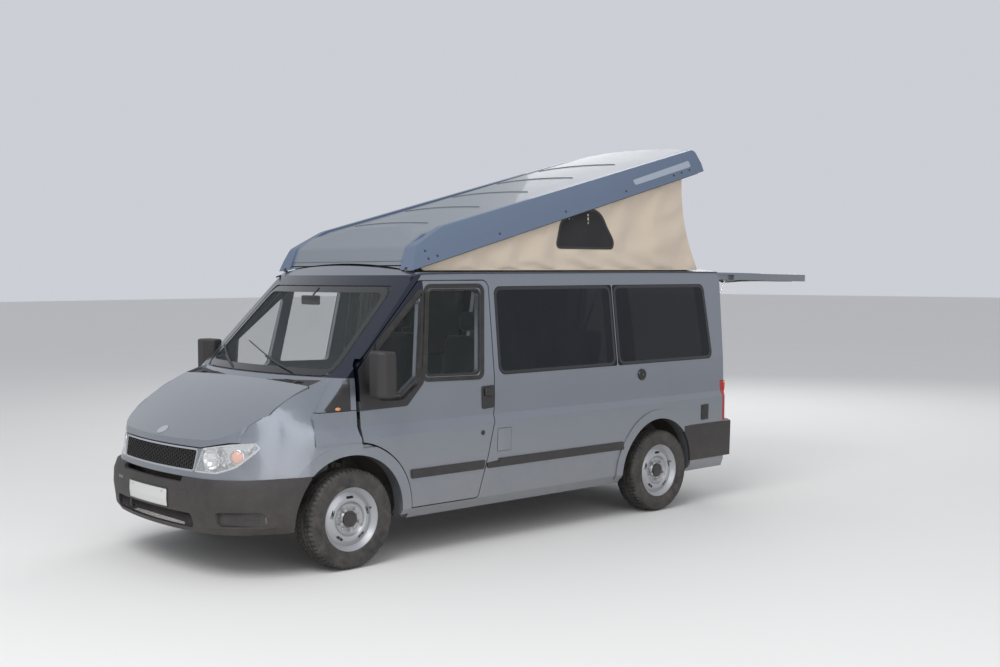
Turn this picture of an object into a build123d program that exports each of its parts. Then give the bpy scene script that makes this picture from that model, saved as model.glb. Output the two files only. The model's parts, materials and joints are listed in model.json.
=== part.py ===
from build123d import *
import os
from math import cos, hypot, radians, sin, sqrt, tan

# Short-wheelbase camper van with a front-hinged pop-up roof, shown raised, and its tailgate open.
# Axes: x runs rearward, y to the van's own right, z up from the ground. While it is built, x is
# measured from the front axle; at the end everything is shifted so that the origin lies at the
# bottom centre of the whole van's box. All lengths are in millimetres.

# Driving dimensions
wheelbase = 2933.0
front_overhang = 933.0
gate_wall = 60.0
half_track = 868.0         # tyre centre planes
tyre_radius = 318.0
tyre_width = 195.0
rim_radius = 200.0
roof_open_angle = 15.0     # raised pop-up roof
gate_open_angle = 89.0     # raised tailgate
door_open_angle = 65.0
bonnet_open_angle = 50.0
steer_angle = 35.0

# Walls and clearances
door_wall = 45.0
frame_depth = 66.0         # from the skin to the flange that a door closes on
body_wall = 90.0           # from the skin to the inner trim
flange_reach = 22.0        # how far that flange stands into a door opening
nose_wall = 20.0           # wings and front panel
bonnet_wall = 25.0
bonnet_rim = 12.0          # thinner where the bonnet's edge rises past the wings
bonnet_rim_y = 740.0
bumper_wall = 32.0
glass_wall = 6.0
glass_recess = 3.0
glass_lip = 15.0           # how far a pane overlaps its frame
move_gap = 7.0             # round everything that opens
seam = 0.4                 # between fixed panels
seat_gap = 0.3             # between pieces that rest on each other

# Heights of the side's feature lines
sill_foot_z = 262.0
sill_z = 330.0
strip_z = 620.0
waist_top_z = 900.0
window_foot_z = 1170.0
window_head_z = 1785.0
gutter_z = 1880.0
crown_z = 1930.0
floor_z = 440.0            # top of the floor
floor_wall = 50.0
rail_top = floor_z - floor_wall

axle_z = tyre_radius
arch_radius = 405.0
arch_front_x = -8.0
arch_rear_x = wheelbase - 28.0
flare_width = 72.0
gate_outer_x = 3845.0      # outer face of the closed tailgate
front_arch_z = axle_z + 7
rear_arch_z = axle_z + 10
flare_stand = 9.0          # how far the arch lips stand out
door_front_x = 72.0
pillar_foot_z = 1005.0     # top of the wing under the windscreen pillar
front_panel_x = -640.0     # rear edge of the panel between the wings
front_panel_half = 692.0
cowl_half = 800.0
cowl_gap = 18.0            # behind the bonnet, whose rear edge dips as it opens

door_axis = (105.0, 930.0)         # station and half width of the front doors' hinge pins
bonnet_axis = (-206.0, 1160.0)     # station and height of the bonnet's hinge pins
roof_axis = (600.0, 1900.0)
gate_axis = (3838.0, 1868.0)
kingpin_y = 735.0
side_split = 700.0         # plane between the sides and the roof, scuttle and rear panels

# Gas struts of the tailgate: foot pivot, and where the rod's eye is when the gate is shut
strut_foot = (3768.0, 1290.0)
strut_eye_shut = (3768.0, 1678.0)
strut_y = 722.0
strut_travel = 214.0       # how far the rod slides in
strut_swing = 27.2         # how far the cylinder turns


# Helpers: an outline's points are (a, b) or (a, b, corner radius)
def rounded_edges(points, place):
    count = len(points)
    corners = []
    for i in range(count):
        p = Vector(points[i][0], points[i][1])
        r = points[i][2] if len(points[i]) > 2 else 0
        if r == 0:
            corners.append((p, None, p))
            continue
        u = (Vector(*points[i - 1][:2]) - p).normalized()
        v = (Vector(*points[(i + 1) % count][:2]) - p).normalized()
        half = radians(u.get_angle(v)) / 2
        centre = p + (u + v).normalized() * (r / sin(half))
        reach = r / tan(half)
        corners.append((p + u * reach, centre - (u + v).normalized() * r, p + v * reach))
    edges = []
    for i in range(count):
        start, middle, end = corners[i]
        if middle is not None:
            edges.append(Edge.make_three_point_arc(place(start), place(middle), place(end)))
        following = corners[(i + 1) % count][0]
        if (following - end).length > 1e-6:
            edges.append(Edge.make_line(place(end), place(following)))
    return edges


def grown(points, amount):
    """The outline with every side moved outward by amount, or inward if it is negative."""
    count = len(points)
    area = sum(points[i - 1][0] * points[i][1] - points[i][0] * points[i - 1][1] for i in range(count))
    outward = 1 if area > 0 else -1
    moved = []
    for i in range(count):
        before, here, after = points[i - 1], points[i], points[(i + 1) % count]
        a = Vector(here[0] - before[0], here[1] - before[1]).normalized()
        b = Vector(after[0] - here[0], after[1] - here[1]).normalized()
        turn = outward * (a.X * b.Y - a.Y * b.X)
        normal_a = Vector(a.Y, -a.X) * outward
        normal_b = Vector(b.Y, -b.X) * outward
        shift = (normal_a + normal_b) * (amount / (1 + normal_a.dot(normal_b)))
        point = (here[0] + shift.X, here[1] + shift.Y)
        if len(here) > 2:
            point += (max(here[2] + (amount if turn > 0 else -amount), 1.0),)
        moved.append(point)
    return moved


def outline_face(points, place, grow):
    return Face(Wire(rounded_edges(grown(points, grow) if grow else points, place)))


def side_prism(points, y0, y1, grow=0):
    """An outline of (x, z) points, extruded across the van."""
    face = outline_face(points, lambda p: Vector(p.X, y0, p.Y), grow)
    return Solid.extrude(face, Vector(0, y1 - y0, 0))


def plan_prism(points, z0, z1, grow=0):
    """An outline of (x, y) points, extruded upward."""
    face = outline_face(points, lambda p: Vector(p.X, p.Y, z0), grow)
    return Solid.extrude(face, Vector(0, 0, z1 - z0))


def front_prism(points, x0, x1, grow=0):
    """An outline of (y, z) points, extruded along the van."""
    face = outline_face(points, lambda p: Vector(x0, p.X, p.Y), grow)
    return Solid.extrude(face, Vector(x1 - x0, 0, 0))


def block(x0, x1, y0, y1, z0, z1):
    return Pos((x0 + x1) / 2, (y0 + y1) / 2, (z0 + z1) / 2) * Box(x1 - x0, abs(y1 - y0), z1 - z0)


def across(x, z, radius, y0, y1):
    """A cylinder whose axis runs across the van."""
    return Pos(x, (y0 + y1) / 2, z) * Rot(90, 0, 0) * Cylinder(radius, abs(y1 - y0))


def upright(x, y, radius, z0, z1):
    return Pos(x, y, (z0 + z1) / 2) * Cylinder(radius, z1 - z0)


def rod(start, end, radius):
    a, b = Vector(*start), Vector(*end)
    return Solid.make_cylinder(radius, (b - a).length, Plane(origin=a, z_dir=b - a))


def solids_of(shape):
    return list(shape.solids())


def biggest(shape):
    return max(solids_of(shape), key=lambda s: s.volume)


def mirrored(shape):
    return mirror(shape, about=Plane.XZ)


def both_sides(shape):
    return Compound(children=solids_of(shape) + solids_of(mirrored(shape)))


def together(*shapes):
    return Compound(children=[s for shape in shapes for s in solids_of(shape)])


# Sections across the cabin. Columns: station, then half widths at the sill foot, sill, rub strip,
# waist foot, waist top, window foot, window head and gutter, and the height of the waist foot
cabin_sections = [
    (-260.0, 876, 926, 946, 950, 928, 915, 822, 800, 815),
    (80.0, 905, 955, 980, 983, 953, 938, 845, 826, 815),
    (1200.0, 905, 957, 985, 987, 960, 945, 852, 832, 850),
    (2600.0, 905, 957, 985, 987, 960, 945, 852, 832, 852),
    (3900.0, 880, 932, 962, 966, 940, 925, 834, 814, 856),
]


def section_wire(station, side, top_z):
    """A closed section across the van: side is a list of (half width, height) from foot to top."""
    right = [Vector(station, y, z) for y, z in side]
    left = [Vector(station, -y, z) for y, z in reversed(side)]
    edges = [Edge.make_line(a, b) for a, b in zip(right, right[1:])]
    edges.append(Edge.make_three_point_arc(right[-1], Vector(station, 0, top_z), left[0]))
    edges += [Edge.make_line(a, b) for a, b in zip(left, left[1:])]
    edges.append(Edge.make_line(left[-1], right[0]))
    return Wire(edges)


def cabin_tube(inset):
    """The body sides and roof from the scuttle to the tail, moved inward by inset."""
    foot = sill_foot_z if inset <= 0 else sill_foot_z - 60
    wires = []
    for x, y1, y2, y3, y4, y5, y6, y7, y8, waist_foot_z in cabin_sections:
        side = [(y1, foot), (y2, sill_z), (y3, strip_z), (y4, waist_foot_z), (y5, waist_top_z),
                (y6, window_foot_z), (y7, window_head_z), (y8, gutter_z - inset)]
        side = [(y - inset, z) for y, z in side]
        wires.append(section_wire(x, side, crown_z - inset))
    return Solid.make_loft(wires, ruled=True)


# Windscreen surface, a bowed sheet leaning back. Columns: station of its edge, half width, height
screen_foot = (-18.0, 876.0, 1211.0)
screen_head = (536.0, 766.0, 1806.0)
screen_bow_foot = 150.0
screen_bow_head = 105.0


def screen_side(inset):
    """Everything behind the windscreen's surface, which is moved back by inset."""
    rake = (screen_head[0] - screen_foot[0]) / (screen_head[2] - screen_foot[2])
    back = inset * sqrt(1 + rake * rake)
    wires = []
    for z in (150.0, 2100.0):
        share = (z - screen_foot[2]) / (screen_head[2] - screen_foot[2])
        edge_x = screen_foot[0] + share * (screen_head[0] - screen_foot[0]) + back
        edge_y = screen_foot[1] + share * (screen_head[1] - screen_foot[1])
        bow = screen_bow_foot + share * (screen_bow_head - screen_bow_foot)
        radius = (edge_y ** 2 + bow ** 2) / (2 * bow)
        wide = 1010.0
        drop = radius - sqrt(radius ** 2 - wide ** 2)
        a = Vector(edge_x - bow + drop, -wide, z)
        m = Vector(edge_x - bow, 0, z)
        b = Vector(edge_x - bow + drop, wide, z)
        c = Vector(4200, wide, z)
        d = Vector(4200, -wide, z)
        wires.append(Wire([Edge.make_three_point_arc(a, m, b), Edge.make_line(b, c),
                           Edge.make_line(c, d), Edge.make_line(d, a)]))
    return Solid.make_loft(wires, ruled=True)


# Sections across the nose. Columns: station, half width and height of the bonnet's edge, height of
# the crown, half width and height of the waist's top, the same of its foot, half width at the sill
nose_sections = [
    (-980.0, 560, 740, 760, 700, 725, 730, 690, 720),
    (-800.0, 682, 835, 878, 790, 806, 810, 768, 800),
    (-500.0, 800, 1019, 1056, 888, 874, 912, 824, 905),
    (-218.0, 800, 1168, 1186, 935, 890, 957, 818, 952),
    (80.0, 860, 1212, 1262, 953, 900, 983, 815, 978),
]
nose_rake = 0.16           # how far the front face leans back for each unit of height
nose_datum = (52.0, 650.0) # set-back of the front face behind the bumper, and the height of that


def nose_loft(inset):
    wires = []
    for x, edge_y, edge_z, top_z, wt_y, wt_z, wf_y, wf_z, foot_y in nose_sections:
        side = [(foot_y, 240.0), (wf_y, wf_z), (wt_y, wt_z), (edge_y, edge_z)]
        side = [(y - inset, z) for y, z in side[:3]] + [(edge_y - inset, edge_z - inset)]
        wires.append(section_wire(x, side, top_z - inset))
    return Solid.make_loft(wires)


def plan_wire(inset, z):
    """Plan outline of the front end at height z, closed behind the front wheels."""
    lead = -front_overhang + inset
    front = Vector(lead, 0, z)
    b = Vector(lead + 50, 560 - 0.4 * inset, z)
    c = Vector(lead + 158, 772 - 0.6 * inset, z)
    d = Vector(lead + 368, 915 - 0.85 * inset, z)
    e = Vector(-300, 968 - 0.5 * inset, z)
    f = Vector(200, 1010, z)
    m = Vector((d.X + e.X) / 2, (d.Y + e.Y) / 2 + 9, z)
    left = [Vector(p.X, -p.Y, z) for p in (b, c, d, m, e, f)]
    return Wire([
        Edge.make_three_point_arc(left[0], front, b), Edge.make_three_point_arc(b, c, d),
        Edge.make_three_point_arc(d, m, e), Edge.make_line(e, f), Edge.make_line(f, left[5]),
        Edge.make_line(left[5], left[4]), Edge.make_three_point_arc(left[4], left[3], left[2]),
        Edge.make_three_point_arc(left[2], left[1], left[0])])


def front_side(inset):
    """Everything behind the front face, which is moved back by inset."""
    wires = []
    for z in (200.0, 1400.0):
        back = nose_datum[0] + (z - nose_datum[1]) * nose_rake + inset
        wires.append(plan_wire(back, z))
    return Solid.make_loft(wires, ruled=True)


nose_cores = {}


def nose_core(inset):
    """The nose's outer form moved inward by inset."""
    if inset not in nose_cores:
        nose_cores[inset] = nose_loft(inset) & front_side(inset)
    return nose_cores[inset]


# Surfaces that everything is cut from
cabin_skin = cabin_tube(0)
screen_skin = screen_side(0)
cabin_block = cabin_skin & screen_skin
cabin_room = cabin_tube(body_wall) & screen_side(60.0)
flange_line = cabin_tube(frame_depth)
door_line = cabin_tube(door_wall)
pane_outer = cabin_tube(glass_recess)
pane_inner = cabin_tube(glass_recess + glass_wall)
pane_seat = cabin_tube(glass_recess + glass_wall + seat_gap)
nose_skin = nose_core(0)
nose_room = nose_core(nose_wall)

# Outlines seen from the side: (station, height, corner radius)
front_door_outline = [
    (84, 336), (74, 986), (72, 1285, 40), (628, 1822, 50), (1240, 1822, 50),
    (1200, 940, 600), (1045, 336, 25)]
slide_door_outline = [(1262, 1822, 50), (1216, 900, 600), (1110, 336, 25), (2430, 336, 40),
                      (2490, 1822, 50)]
side_glass_outline = [(1257, 1164, 60), (1288, 1781, 60), (2488, 1781, 20), (2463, 1168, 20)]
quarter_glass_outline = [(2471, 1168, 20), (2496, 1781, 20), (3604, 1779, 60), (3620, 1170, 60)]
door_pane_outline = [(610, 1187, 30), (703, 1769, 40), (1166, 1769, 50), (1086, 1176, 50)]
vent_pane_outline = [(241, 1085, 20), (402, 1080, 20), (548, 1186, 20), (646, 1742, 30), (238, 1392, 30)]
flare_radius = arch_radius + flare_width
door_arch_radius = flare_radius + move_gap + 4


def front_arch(radius, y0=500, y1=1100):
    return across(arch_front_x, front_arch_z, radius, -y0, -y1)


def rear_arch(radius, y0=500, y1=1100):
    return across(arch_rear_x, rear_arch_z, radius, -y0, -y1)


def in_panel(points, wall, inner, grow=0):
    """The left panel inside an outline, from the skin to a wall's depth."""
    return (cabin_block & side_prism(points, -1020, -500, grow)) - inner


def pane(points):
    return biggest((pane_outer & side_prism(points, -1020, -500, -1.0)) - pane_inner)


def pane_cut(points):
    """The stepped opening that a pane sits in."""
    rebate = side_prism(points, -1020, -500) - pane_seat
    return rebate.fuse(side_prism(points, -1020, -500, -glass_lip))


def front_door():
    door = in_panel(front_door_outline, door_wall, door_line)
    door -= front_arch(door_arch_radius)
    for outline in (door_pane_outline, vent_pane_outline):
        door -= pane_cut(outline)
    door -= hinge_pockets()
    return door


# Door hinges: each has a knuckle with its pin on the body and one on the door above it
hinge_heights = (826.0, 952.0)
knuckle_height = 17.0
knuckle_radius = 9.0
pin_radius = 4.5
pin_fit = 0.3
well_radius = 60.0
well_heights = (786.0, 1330.0)
sweep_radius = 92.0          # over the front arch lip, for the lower corner of the open door
sweep_heights = (768.0, 832.0)
sweep_depth = 968.0


def hinge_pockets():
    x, y = door_axis
    cut = None
    for z in hinge_heights:
        pocket = block(x - 60, x + 42, -y - 13, -y + 80, z - move_gap, z + 2 * knuckle_height + move_gap + 2)
        cut = pocket if cut is None else cut.fuse(pocket)
    return cut


def door_knuckles(door):
    x, y = door_axis
    for z in hinge_heights:
        low, high = z + knuckle_height + 1, z + 2 * knuckle_height + 1
        knuckle = upright(x, -y, knuckle_radius, low, high)
        arm = block(x, x + 52, -y - 8, -y + 8, low, high)
        arm = arm.fuse(knuckle) - upright(x, -y, pin_radius + pin_fit, low - 1, high + 1)
        door = door.fuse(arm)
    return door


def body_knuckles():
    x, y = door_axis
    solids = []
    for z in hinge_heights:
        knuckle = upright(x, -y, knuckle_radius, z, z + knuckle_height)
        pin = upright(x, -y, pin_radius, z, z + 2 * knuckle_height + 1)
        arm = block(x - 8, x + 8, -y, -y + 62, z, z + knuckle_height)
        solids.append(knuckle.fuse(pin, arm))
    return together(*solids)


def door_well():
    """Room in the body for the door's front edge to swing through."""
    x, y = door_axis
    return upright(x, -y, well_radius, *well_heights)


def door_sweep():
    """Room over the arch lip for the lower corner of the open door."""
    x, y = door_axis
    room = upright(x, -y, sweep_radius, *sweep_heights)
    return room & block(x - 100, x + 100, -1100, -sweep_depth, 700, 900)


# Outlines seen from the front: (half width or y, height, corner radius)
screen_outline = [(-806, 1212, 70), (806, 1212, 70), (742, 1792, 60), (-742, 1792, 60)]
gate_outline = [(-790, 553, 60), (790, 553, 60), (790, 1170, 300), (712, 1842, 50),
                (-712, 1842, 50), (-790, 1170, 300)]
gate_pane_outline = [(-700, 1150, 70), (700, 1150, 70), (635, 1760, 70), (-635, 1760, 70)]
bonnet_front_outline = [(-960, 845), (-690, 845), (-505, 808), (505, 808), (690, 845), (960, 845),
                        (960, 1400), (-960, 1400)]
grille_outline = [(-470, 657, 25), (470, 657, 25), (487, 800, 25), (-487, 800, 25)]
lamp_front_outline = [(-960, 640), (-468, 640, 15), (-524, 806, 15), (-700, 836), (-830, 846),
                      (-960, 850)]
# Outlines seen from above and from the side
bonnet_plan = [(-218, -800), (-500, -800), (-800, -682), (-1000, -600), (-1000, 600),
               (-800, 682), (-500, 800), (-218, 800)]
lamp_side_outline = [(-1000, 657), (-785, 657, 20), (-700, 698, 20), (-570, 812, 15),
                     (-600, 850, 15), (-1000, 850)]
rear_plan = [(-500, -1100), (3640, -1100), (3845, -803, 160), (3845, 803, 160), (3640, 1100),
             (-500, 1100)]


def rear_side(inset):
    """Everything ahead of the rear face, which is moved forward by inset."""
    points = [(p[0] - (inset if p[0] > 0 else 0),) + tuple(p[1:]) for p in rear_plan]
    return plan_prism(points, 150, 2100)


def screen_cut():
    """The stepped opening that the windscreen sits in."""
    seat = screen_side(glass_recess + glass_wall + seat_gap)
    rebate = front_prism(screen_outline, -420, 640) - seat
    return rebate.fuse(front_prism(screen_outline, -420, 640, -glass_lip))


outer_block = cabin_block & rear_side(0)
inner_room = cabin_room & rear_side(gate_wall)
shell = outer_block - inner_room
shell -= screen_cut()
shell -= front_prism(gate_outline, 3700, 3900, move_gap)
shell -= across(gate_axis[0], gate_axis[1], 40, -1000, 1000)
bumper_back = cabin_tube(14) & rear_side(-seat_gap)
rear_bumper_zone = (3205.0, 357.0, 647.0)      # its front end, foot and top


def in_flare(outer, x, z):
    """The raised lip round a wheel arch."""
    ring = across(x, z, flare_radius, -500, -1100) - across(x, z, arch_radius, -500, -1100)
    return (outer & ring & block(x - 600, x + 600, -1100, -700, z - 30, z + 600))


def side_with_openings():
    side = shell & block(-300, 3900, -1100, -side_split, 200, 1862)
    hole = side_prism(front_door_outline, -1020, -500, move_gap) - flange_line
    hole = hole.fuse(side_prism(front_door_outline, -1020, -500, -flange_reach))
    side -= hole
    side -= pane_cut(side_glass_outline).fuse(pane_cut(quarter_glass_outline))
    lip = in_flare(cabin_tube(-flare_stand), arch_rear_x, rear_arch_z) - inner_room
    side = side.fuse(lip)
    side -= rear_arch(arch_radius)
    side -= front_arch(flare_radius)
    side -= block(-300, door_axis[0] - 38, -1100, -500, 200, waist_top_z + 110)
    front_lip = in_flare(cabin_tube(-flare_stand), arch_front_x, front_arch_z) - inner_room
    front_lip &= block(door_front_x - move_gap + seam, 600, -1100, -700, sill_foot_z, waist_top_z)
    side = side.fuse(front_lip)
    side -= door_well()
    side -= door_sweep()
    x, foot, top = rear_bumper_zone
    side -= block(x - seat_gap, 3900, -1100, -500, foot - seat_gap, top + seat_gap) - bumper_back
    side -= lamp_pocket()
    return biggest(side)


tail_lamp_zone = (3700.0, 655.0, 985.0)


def lamp_pocket():
    x, foot, top = tail_lamp_zone
    pocket = block(x, 3900, -1100, -802, foot, top)
    return pocket - (cabin_tube(40) & rear_side(40))


def tail_lamps():
    x, foot, top = tail_lamp_zone
    lamp = outer_block & block(x + seat_gap, 3900, -1100, -802 - seat_gap, foot + seat_gap, top - seat_gap)
    lamp -= cabin_tube(40 - seat_gap) & rear_side(40 - seat_gap)
    return both_sides(biggest(lamp))


def slide_door_and_side(side):
    hole = side_prism(slide_door_outline, 1020, 500, move_gap) - flange_line
    hole = hole.fuse(side_prism(slide_door_outline, 1020, 500, -flange_reach))
    door = cabin_block & side_prism(slide_door_outline, 1020, 500)
    door -= cabin_tube(frame_depth - seat_gap)
    door -= mirrored(pane_cut(side_glass_outline))
    # the pane's rear edge lies on the fixed side, so both carry it
    return biggest(side - hole), biggest(door)


def rear_bumper():
    x, foot, top = rear_bumper_zone
    plan = [(-500, -1100), (3700, -1100), (3898, -860, 120), (3898, 860, 120), (3700, 1100), (-500, 1100)]
    bar = cabin_tube(-8) & plan_prism(plan, 150, 2100)
    bar &= block(x, 3900, -1100, 1100, foot, top)
    bar -= bumper_back
    bar -= block(3800, 3950, -800, 800, 546, 900)
    bar -= rear_arch(arch_radius)
    bar -= mirrored(rear_arch(arch_radius))
    return biggest(bar)


def rear_panel():
    return biggest(shell & block(3700, 3900, -side_split, side_split, 400, 546))


def roof_panel():
    roof = shell & block(640, 3900, -side_split, side_split, 1700, 2000)
    roof = roof.fuse(shell & block(400, 3900, -1100, 1100, 1862, 2000))
    roof -= roof_hole()
    return biggest(roof)


def roof_hole():
    return plan_prism([(900, -600, 80), (3350, -600, 80), (3350, 600, 80), (900, 600, 80)], 1500, 2100)


def cab_frame():
    return together(*(shell & block(-200, 640, -side_split, side_split, 1120, 1862)).solids())


def windscreen():
    sheet = screen_side(glass_recess) - screen_side(glass_recess + glass_wall)
    return biggest(sheet & front_prism(screen_outline, -420, 640, -1.0))


# The nose
nose_sheet = nose_skin - nose_room


def bonnet_zone(grow):
    top = plan_prism(bonnet_plan, 600, 1400, grow)
    return top & front_prism(bonnet_front_outline, -1100, -100, grow)


def lamp_zone(grow):
    front = front_prism(lamp_front_outline, -1100, -400, grow)
    return front & side_prism(lamp_side_outline, -300, -1100, grow)


def bonnet():
    lid = biggest((nose_skin - nose_core(bonnet_wall)) & bonnet_zone(0))
    rim = nose_core(bonnet_rim) & block(-1000, 0, bonnet_rim_y, 1100, 600, 1400)
    lid -= rim
    lid -= mirrored(rim)
    x, z = bonnet_axis
    for y in (-620, 620):
        ear = block(x - 60, x + 8, y - 8, y + 8, z - 8, z + 14)
        ear -= nose_skin_above()
        lid = lid.fuse(ear)
        lid -= across(x, z, pin_radius + pin_fit, y - 20, y + 20)
    return lid


def nose_skin_above():
    """What lies over the bonnet's middle."""
    return block(-2000, 2000, -1100, 1100, 900, 2000) - nose_loft(bonnet_wall / 2)


def bonnet_hinges():
    x, z = bonnet_axis
    solids = []
    for y in (-620, 620):
        sign = 1 if y > 0 else -1
        post = block(x - 8, x + 16, y + sign * 14, y + sign * 24, 1060 + seat_gap, z + 8)
        post = post.fuse(block(x - 8, -165, y + sign * 14, y + sign * 40, 1060 + seat_gap, 1074))
        pin = across(x, z, pin_radius, y - sign * 8, y + sign * 20)
        solids.append(post.fuse(pin))
    return together(*solids)


def wing():
    """The left front wing, with the foot of the windscreen pillar over it."""
    sheet = nose_sheet & block(-1000, door_front_x - move_gap, -1100, -300, 200, 1300)
    cab_room = cabin_tube(nose_wall) & screen_side(nose_wall)
    sheet -= cab_room & block(-400, 200, -1100, 0, 1000, 1300)
    foot = cabin_block & block(-260, door_front_x - move_gap, -1100, 0, 800, pillar_foot_z)
    sheet = sheet.fuse((foot - cab_room) - nose_room)
    lip = in_flare(nose_core(-flare_stand), arch_front_x, front_arch_z) - nose_room
    sheet = sheet.fuse(lip & block(-1000, door_front_x - move_gap, -1100, -300, 200, 1300))
    sheet -= front_arch(arch_radius)
    sheet -= block(-218 + move_gap - 20, 80, -cowl_half, cowl_half, 1000, 1400)
    sheet -= bonnet_zone(move_gap)
    sheet -= block(-1000, -200, -1100, 0, 100, bumper_top + seam)
    sheet -= lamp_zone(seam)
    sheet -= block(-1000, front_panel_x, -front_panel_half, 0, 100, 1000)
    sheet -= door_well()
    sheet -= side_prism(front_door_outline, -1100, -500, move_gap)
    return biggest(sheet)


bumper_top = 622.0
bumper_foot = 286.0
# The bumper's face, level by level. Columns: height, set-back
bumper_levels = [(286.0, 45.0), (330.0, 16.0), (470.0, 0.0), (560.0, 4.0), (622.0, 24.0)]


def bumper_solid(inset):
    wires = []
    for i, (z, back) in enumerate(bumper_levels):
        z += -40 if i == 0 and inset else 0
        z += 40 if i == len(bumper_levels) - 1 and inset else 0
        wires.append(plan_wire(back + inset, z))
    return Solid.make_loft(wires, ruled=True)


def front_bumper():
    bar = bumper_solid(0) - bumper_solid(bumper_wall)
    bar -= front_arch(arch_radius, 300)
    bar -= mirrored(front_arch(arch_radius, 300))
    bar -= block(-300, 400, -1100, 1100, 200, 700)
    bar -= front_prism([(-520, 318, 30), (520, 318, 30), (500, 408, 30), (-500, 408, 30)], -1000, -700)
    bar -= front_prism([(-395, 590, 10), (395, 590, 10), (395, 640), (-395, 640)], -1000, -840)
    fog = front_prism([(-895, 345, 25), (-692, 345, 25), (-692, 432, 25), (-895, 432, 25)], -1000, -500)
    bar -= fog
    bar -= mirrored(fog)
    return biggest(bar)


def front_panel():
    half = front_panel_half - seat_gap
    sheet = nose_sheet & block(-1000, front_panel_x, -half, half, bumper_top + seam, 845)
    sheet -= bonnet_zone(move_gap)
    sheet -= front_prism(grille_outline, -1000, -500, seat_gap)
    sheet -= lamp_zone(seam)
    sheet -= mirrored(lamp_zone(seam))
    return biggest(sheet)


def grille():
    body = nose_skin - nose_core(30)
    body &= front_prism(grille_outline, -1000, -500)
    hole = front_prism(grille_outline, -1000, -500, -11)
    frame = body - hole
    mesh = nose_core(8) - nose_core(18)
    mesh &= front_prism(grille_outline, -1000, -500, -11 - seat_gap)
    return frame, mesh


def headlamp():
    lens = nose_skin - nose_core(4)
    lens &= lamp_zone(0)
    core = nose_core(4 + seat_gap) & lamp_zone(0)
    bowl = core - nose_core(70)
    bowl -= lamp_zone(-8) - nose_core(58)
    return biggest(lens), biggest(bowl)


def cowl():
    sheet = nose_core(16) - nose_core(36)
    half = cowl_half - seat_gap
    sheet &= block(-218 + cowl_gap, 80, -half, half, 1050, 1300)
    sheet -= screen_side(-seam)
    for y in (-620, 620):
        sheet -= block(-300, -150, y - 40, y + 40, 1000, 1300)
    return together(*[solid for solid in sheet.solids() if solid.volume > 1e5])


# Inside the nose, under the floor and round the wheels
bay_half = 545.0


def wheel_houses():
    house = across(arch_front_x, front_arch_z, arch_radius + 26, -bay_half, -960)
    house -= across(arch_front_x, front_arch_z, arch_radius + 14, -bay_half - 14, -1000)
    house &= block(-500, 500, -1000, 0, axle_z - 40, 900)
    wing_room = nose_room & block(-500, door_front_x - move_gap, -1100, 0, 200, 900)
    house &= wing_room.fuse(inner_room & block(-100, 500, -1100, 1100, 200, 1300))
    house -= side_prism(front_door_outline, -1100, -860, move_gap)
    back = across(arch_rear_x, rear_arch_z, arch_radius + 26, -640, -960)
    back -= across(arch_rear_x, rear_arch_z, arch_radius + 14, -654, -1000)
    back &= block(2300, 3500, -1000, 0, axle_z - 20, 900) & inner_room
    back -= across(wheelbase, axle_z, 62, -600, -700)
    house -= bumper_solid(-seat_gap)
    return together(both_sides(biggest(house)), both_sides(biggest(back)))


def floor_pan():
    floor = block(-150, 3784, -880, 880, rail_top, floor_z) & inner_room
    for x, z, half in ((arch_front_x, front_arch_z, bay_half), (arch_rear_x, rear_arch_z, 640)):
        well = across(x, z, arch_radius + 26 + seat_gap, -half + seat_gap, -1100)
        floor -= well
        floor -= mirrored(well)
    return biggest(floor)


def bulkhead():
    wall = block(-190, -150, -860, 860, rail_top, 1060)
    wall &= nose_loft(nose_wall)
    wall -= block(-300, 0, -900, 900, 1118, 1300)
    well = across(arch_front_x, front_arch_z, arch_radius + 26 + seat_gap, -bay_half + seat_gap, -1100)
    wall -= well
    wall -= mirrored(well)
    wall -= door_well()
    wall -= mirrored(door_well())
    return biggest(wall)


rail_height = 80.0
crossmember_stations = (-800, -460, 650, 1800, 2350, 3755)
crossmember_top = rail_top - 10
pad_station = 900.0        # jacking pads under the rails
pad_depth = 10.0


def chassis():
    """Ladder frame, whose rails reach forward to the bumper."""
    frame = None
    nose_end = bumper_solid(bumper_wall + seat_gap)
    for sign in (-1, 1):
        rail = block(-400, 3780, sign * 380, sign * 460, rail_top - rail_height, rail_top)
        tip = block(-930, -400, sign * 380, sign * 460, rail_top - rail_height, rail_top) & nose_end
        frame = rail.fuse(tip) if frame is None else frame.fuse(rail, tip)
        pad = block(pad_station - 40, pad_station + 40, sign * 380, sign * 460,
                    rail_top - rail_height - pad_depth, rail_top - rail_height)
        frame = frame.fuse(pad)
    for x in crossmember_stations:
        frame = frame.fuse(block(x - 22, x + 22, -460, 460, crossmember_top - 60, crossmember_top))
    return frame - across(wheelbase, axle_z, 62, -900, 900)



# Panes, mirrors and the rest of the doors
def door_panes():
    return together(pane(door_pane_outline), pane(vent_pane_outline))


def side_panes():
    left = together(pane(side_glass_outline), pane(quarter_glass_outline))
    return left, mirrored(left)


mirror_plan = [(118, -996, 24), (192, -996, 20), (192, -1172, 24), (176, -1190, 30), (98, -1188, 40),
               (64, -1150, 40), (64, -1066, 30)]
mirror_heights = (1095.0, 1385.0)


def door_mirror():
    """Mirror head, tapered on the inside to swing past the windscreen pillar, and its arm."""
    head = plan_prism(mirror_plan, *mirror_heights)
    ends = [edge for edge in head.edges() if abs(edge.center().Z - mirror_heights[0]) < 1
            or abs(edge.center().Z - mirror_heights[1]) < 1]
    head = fillet(ends, 16)
    arm = block(150, 226, -1030, -900, 1105, 1175)
    arm -= cabin_tube(-seat_gap)
    return head.fuse(biggest(arm))


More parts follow.
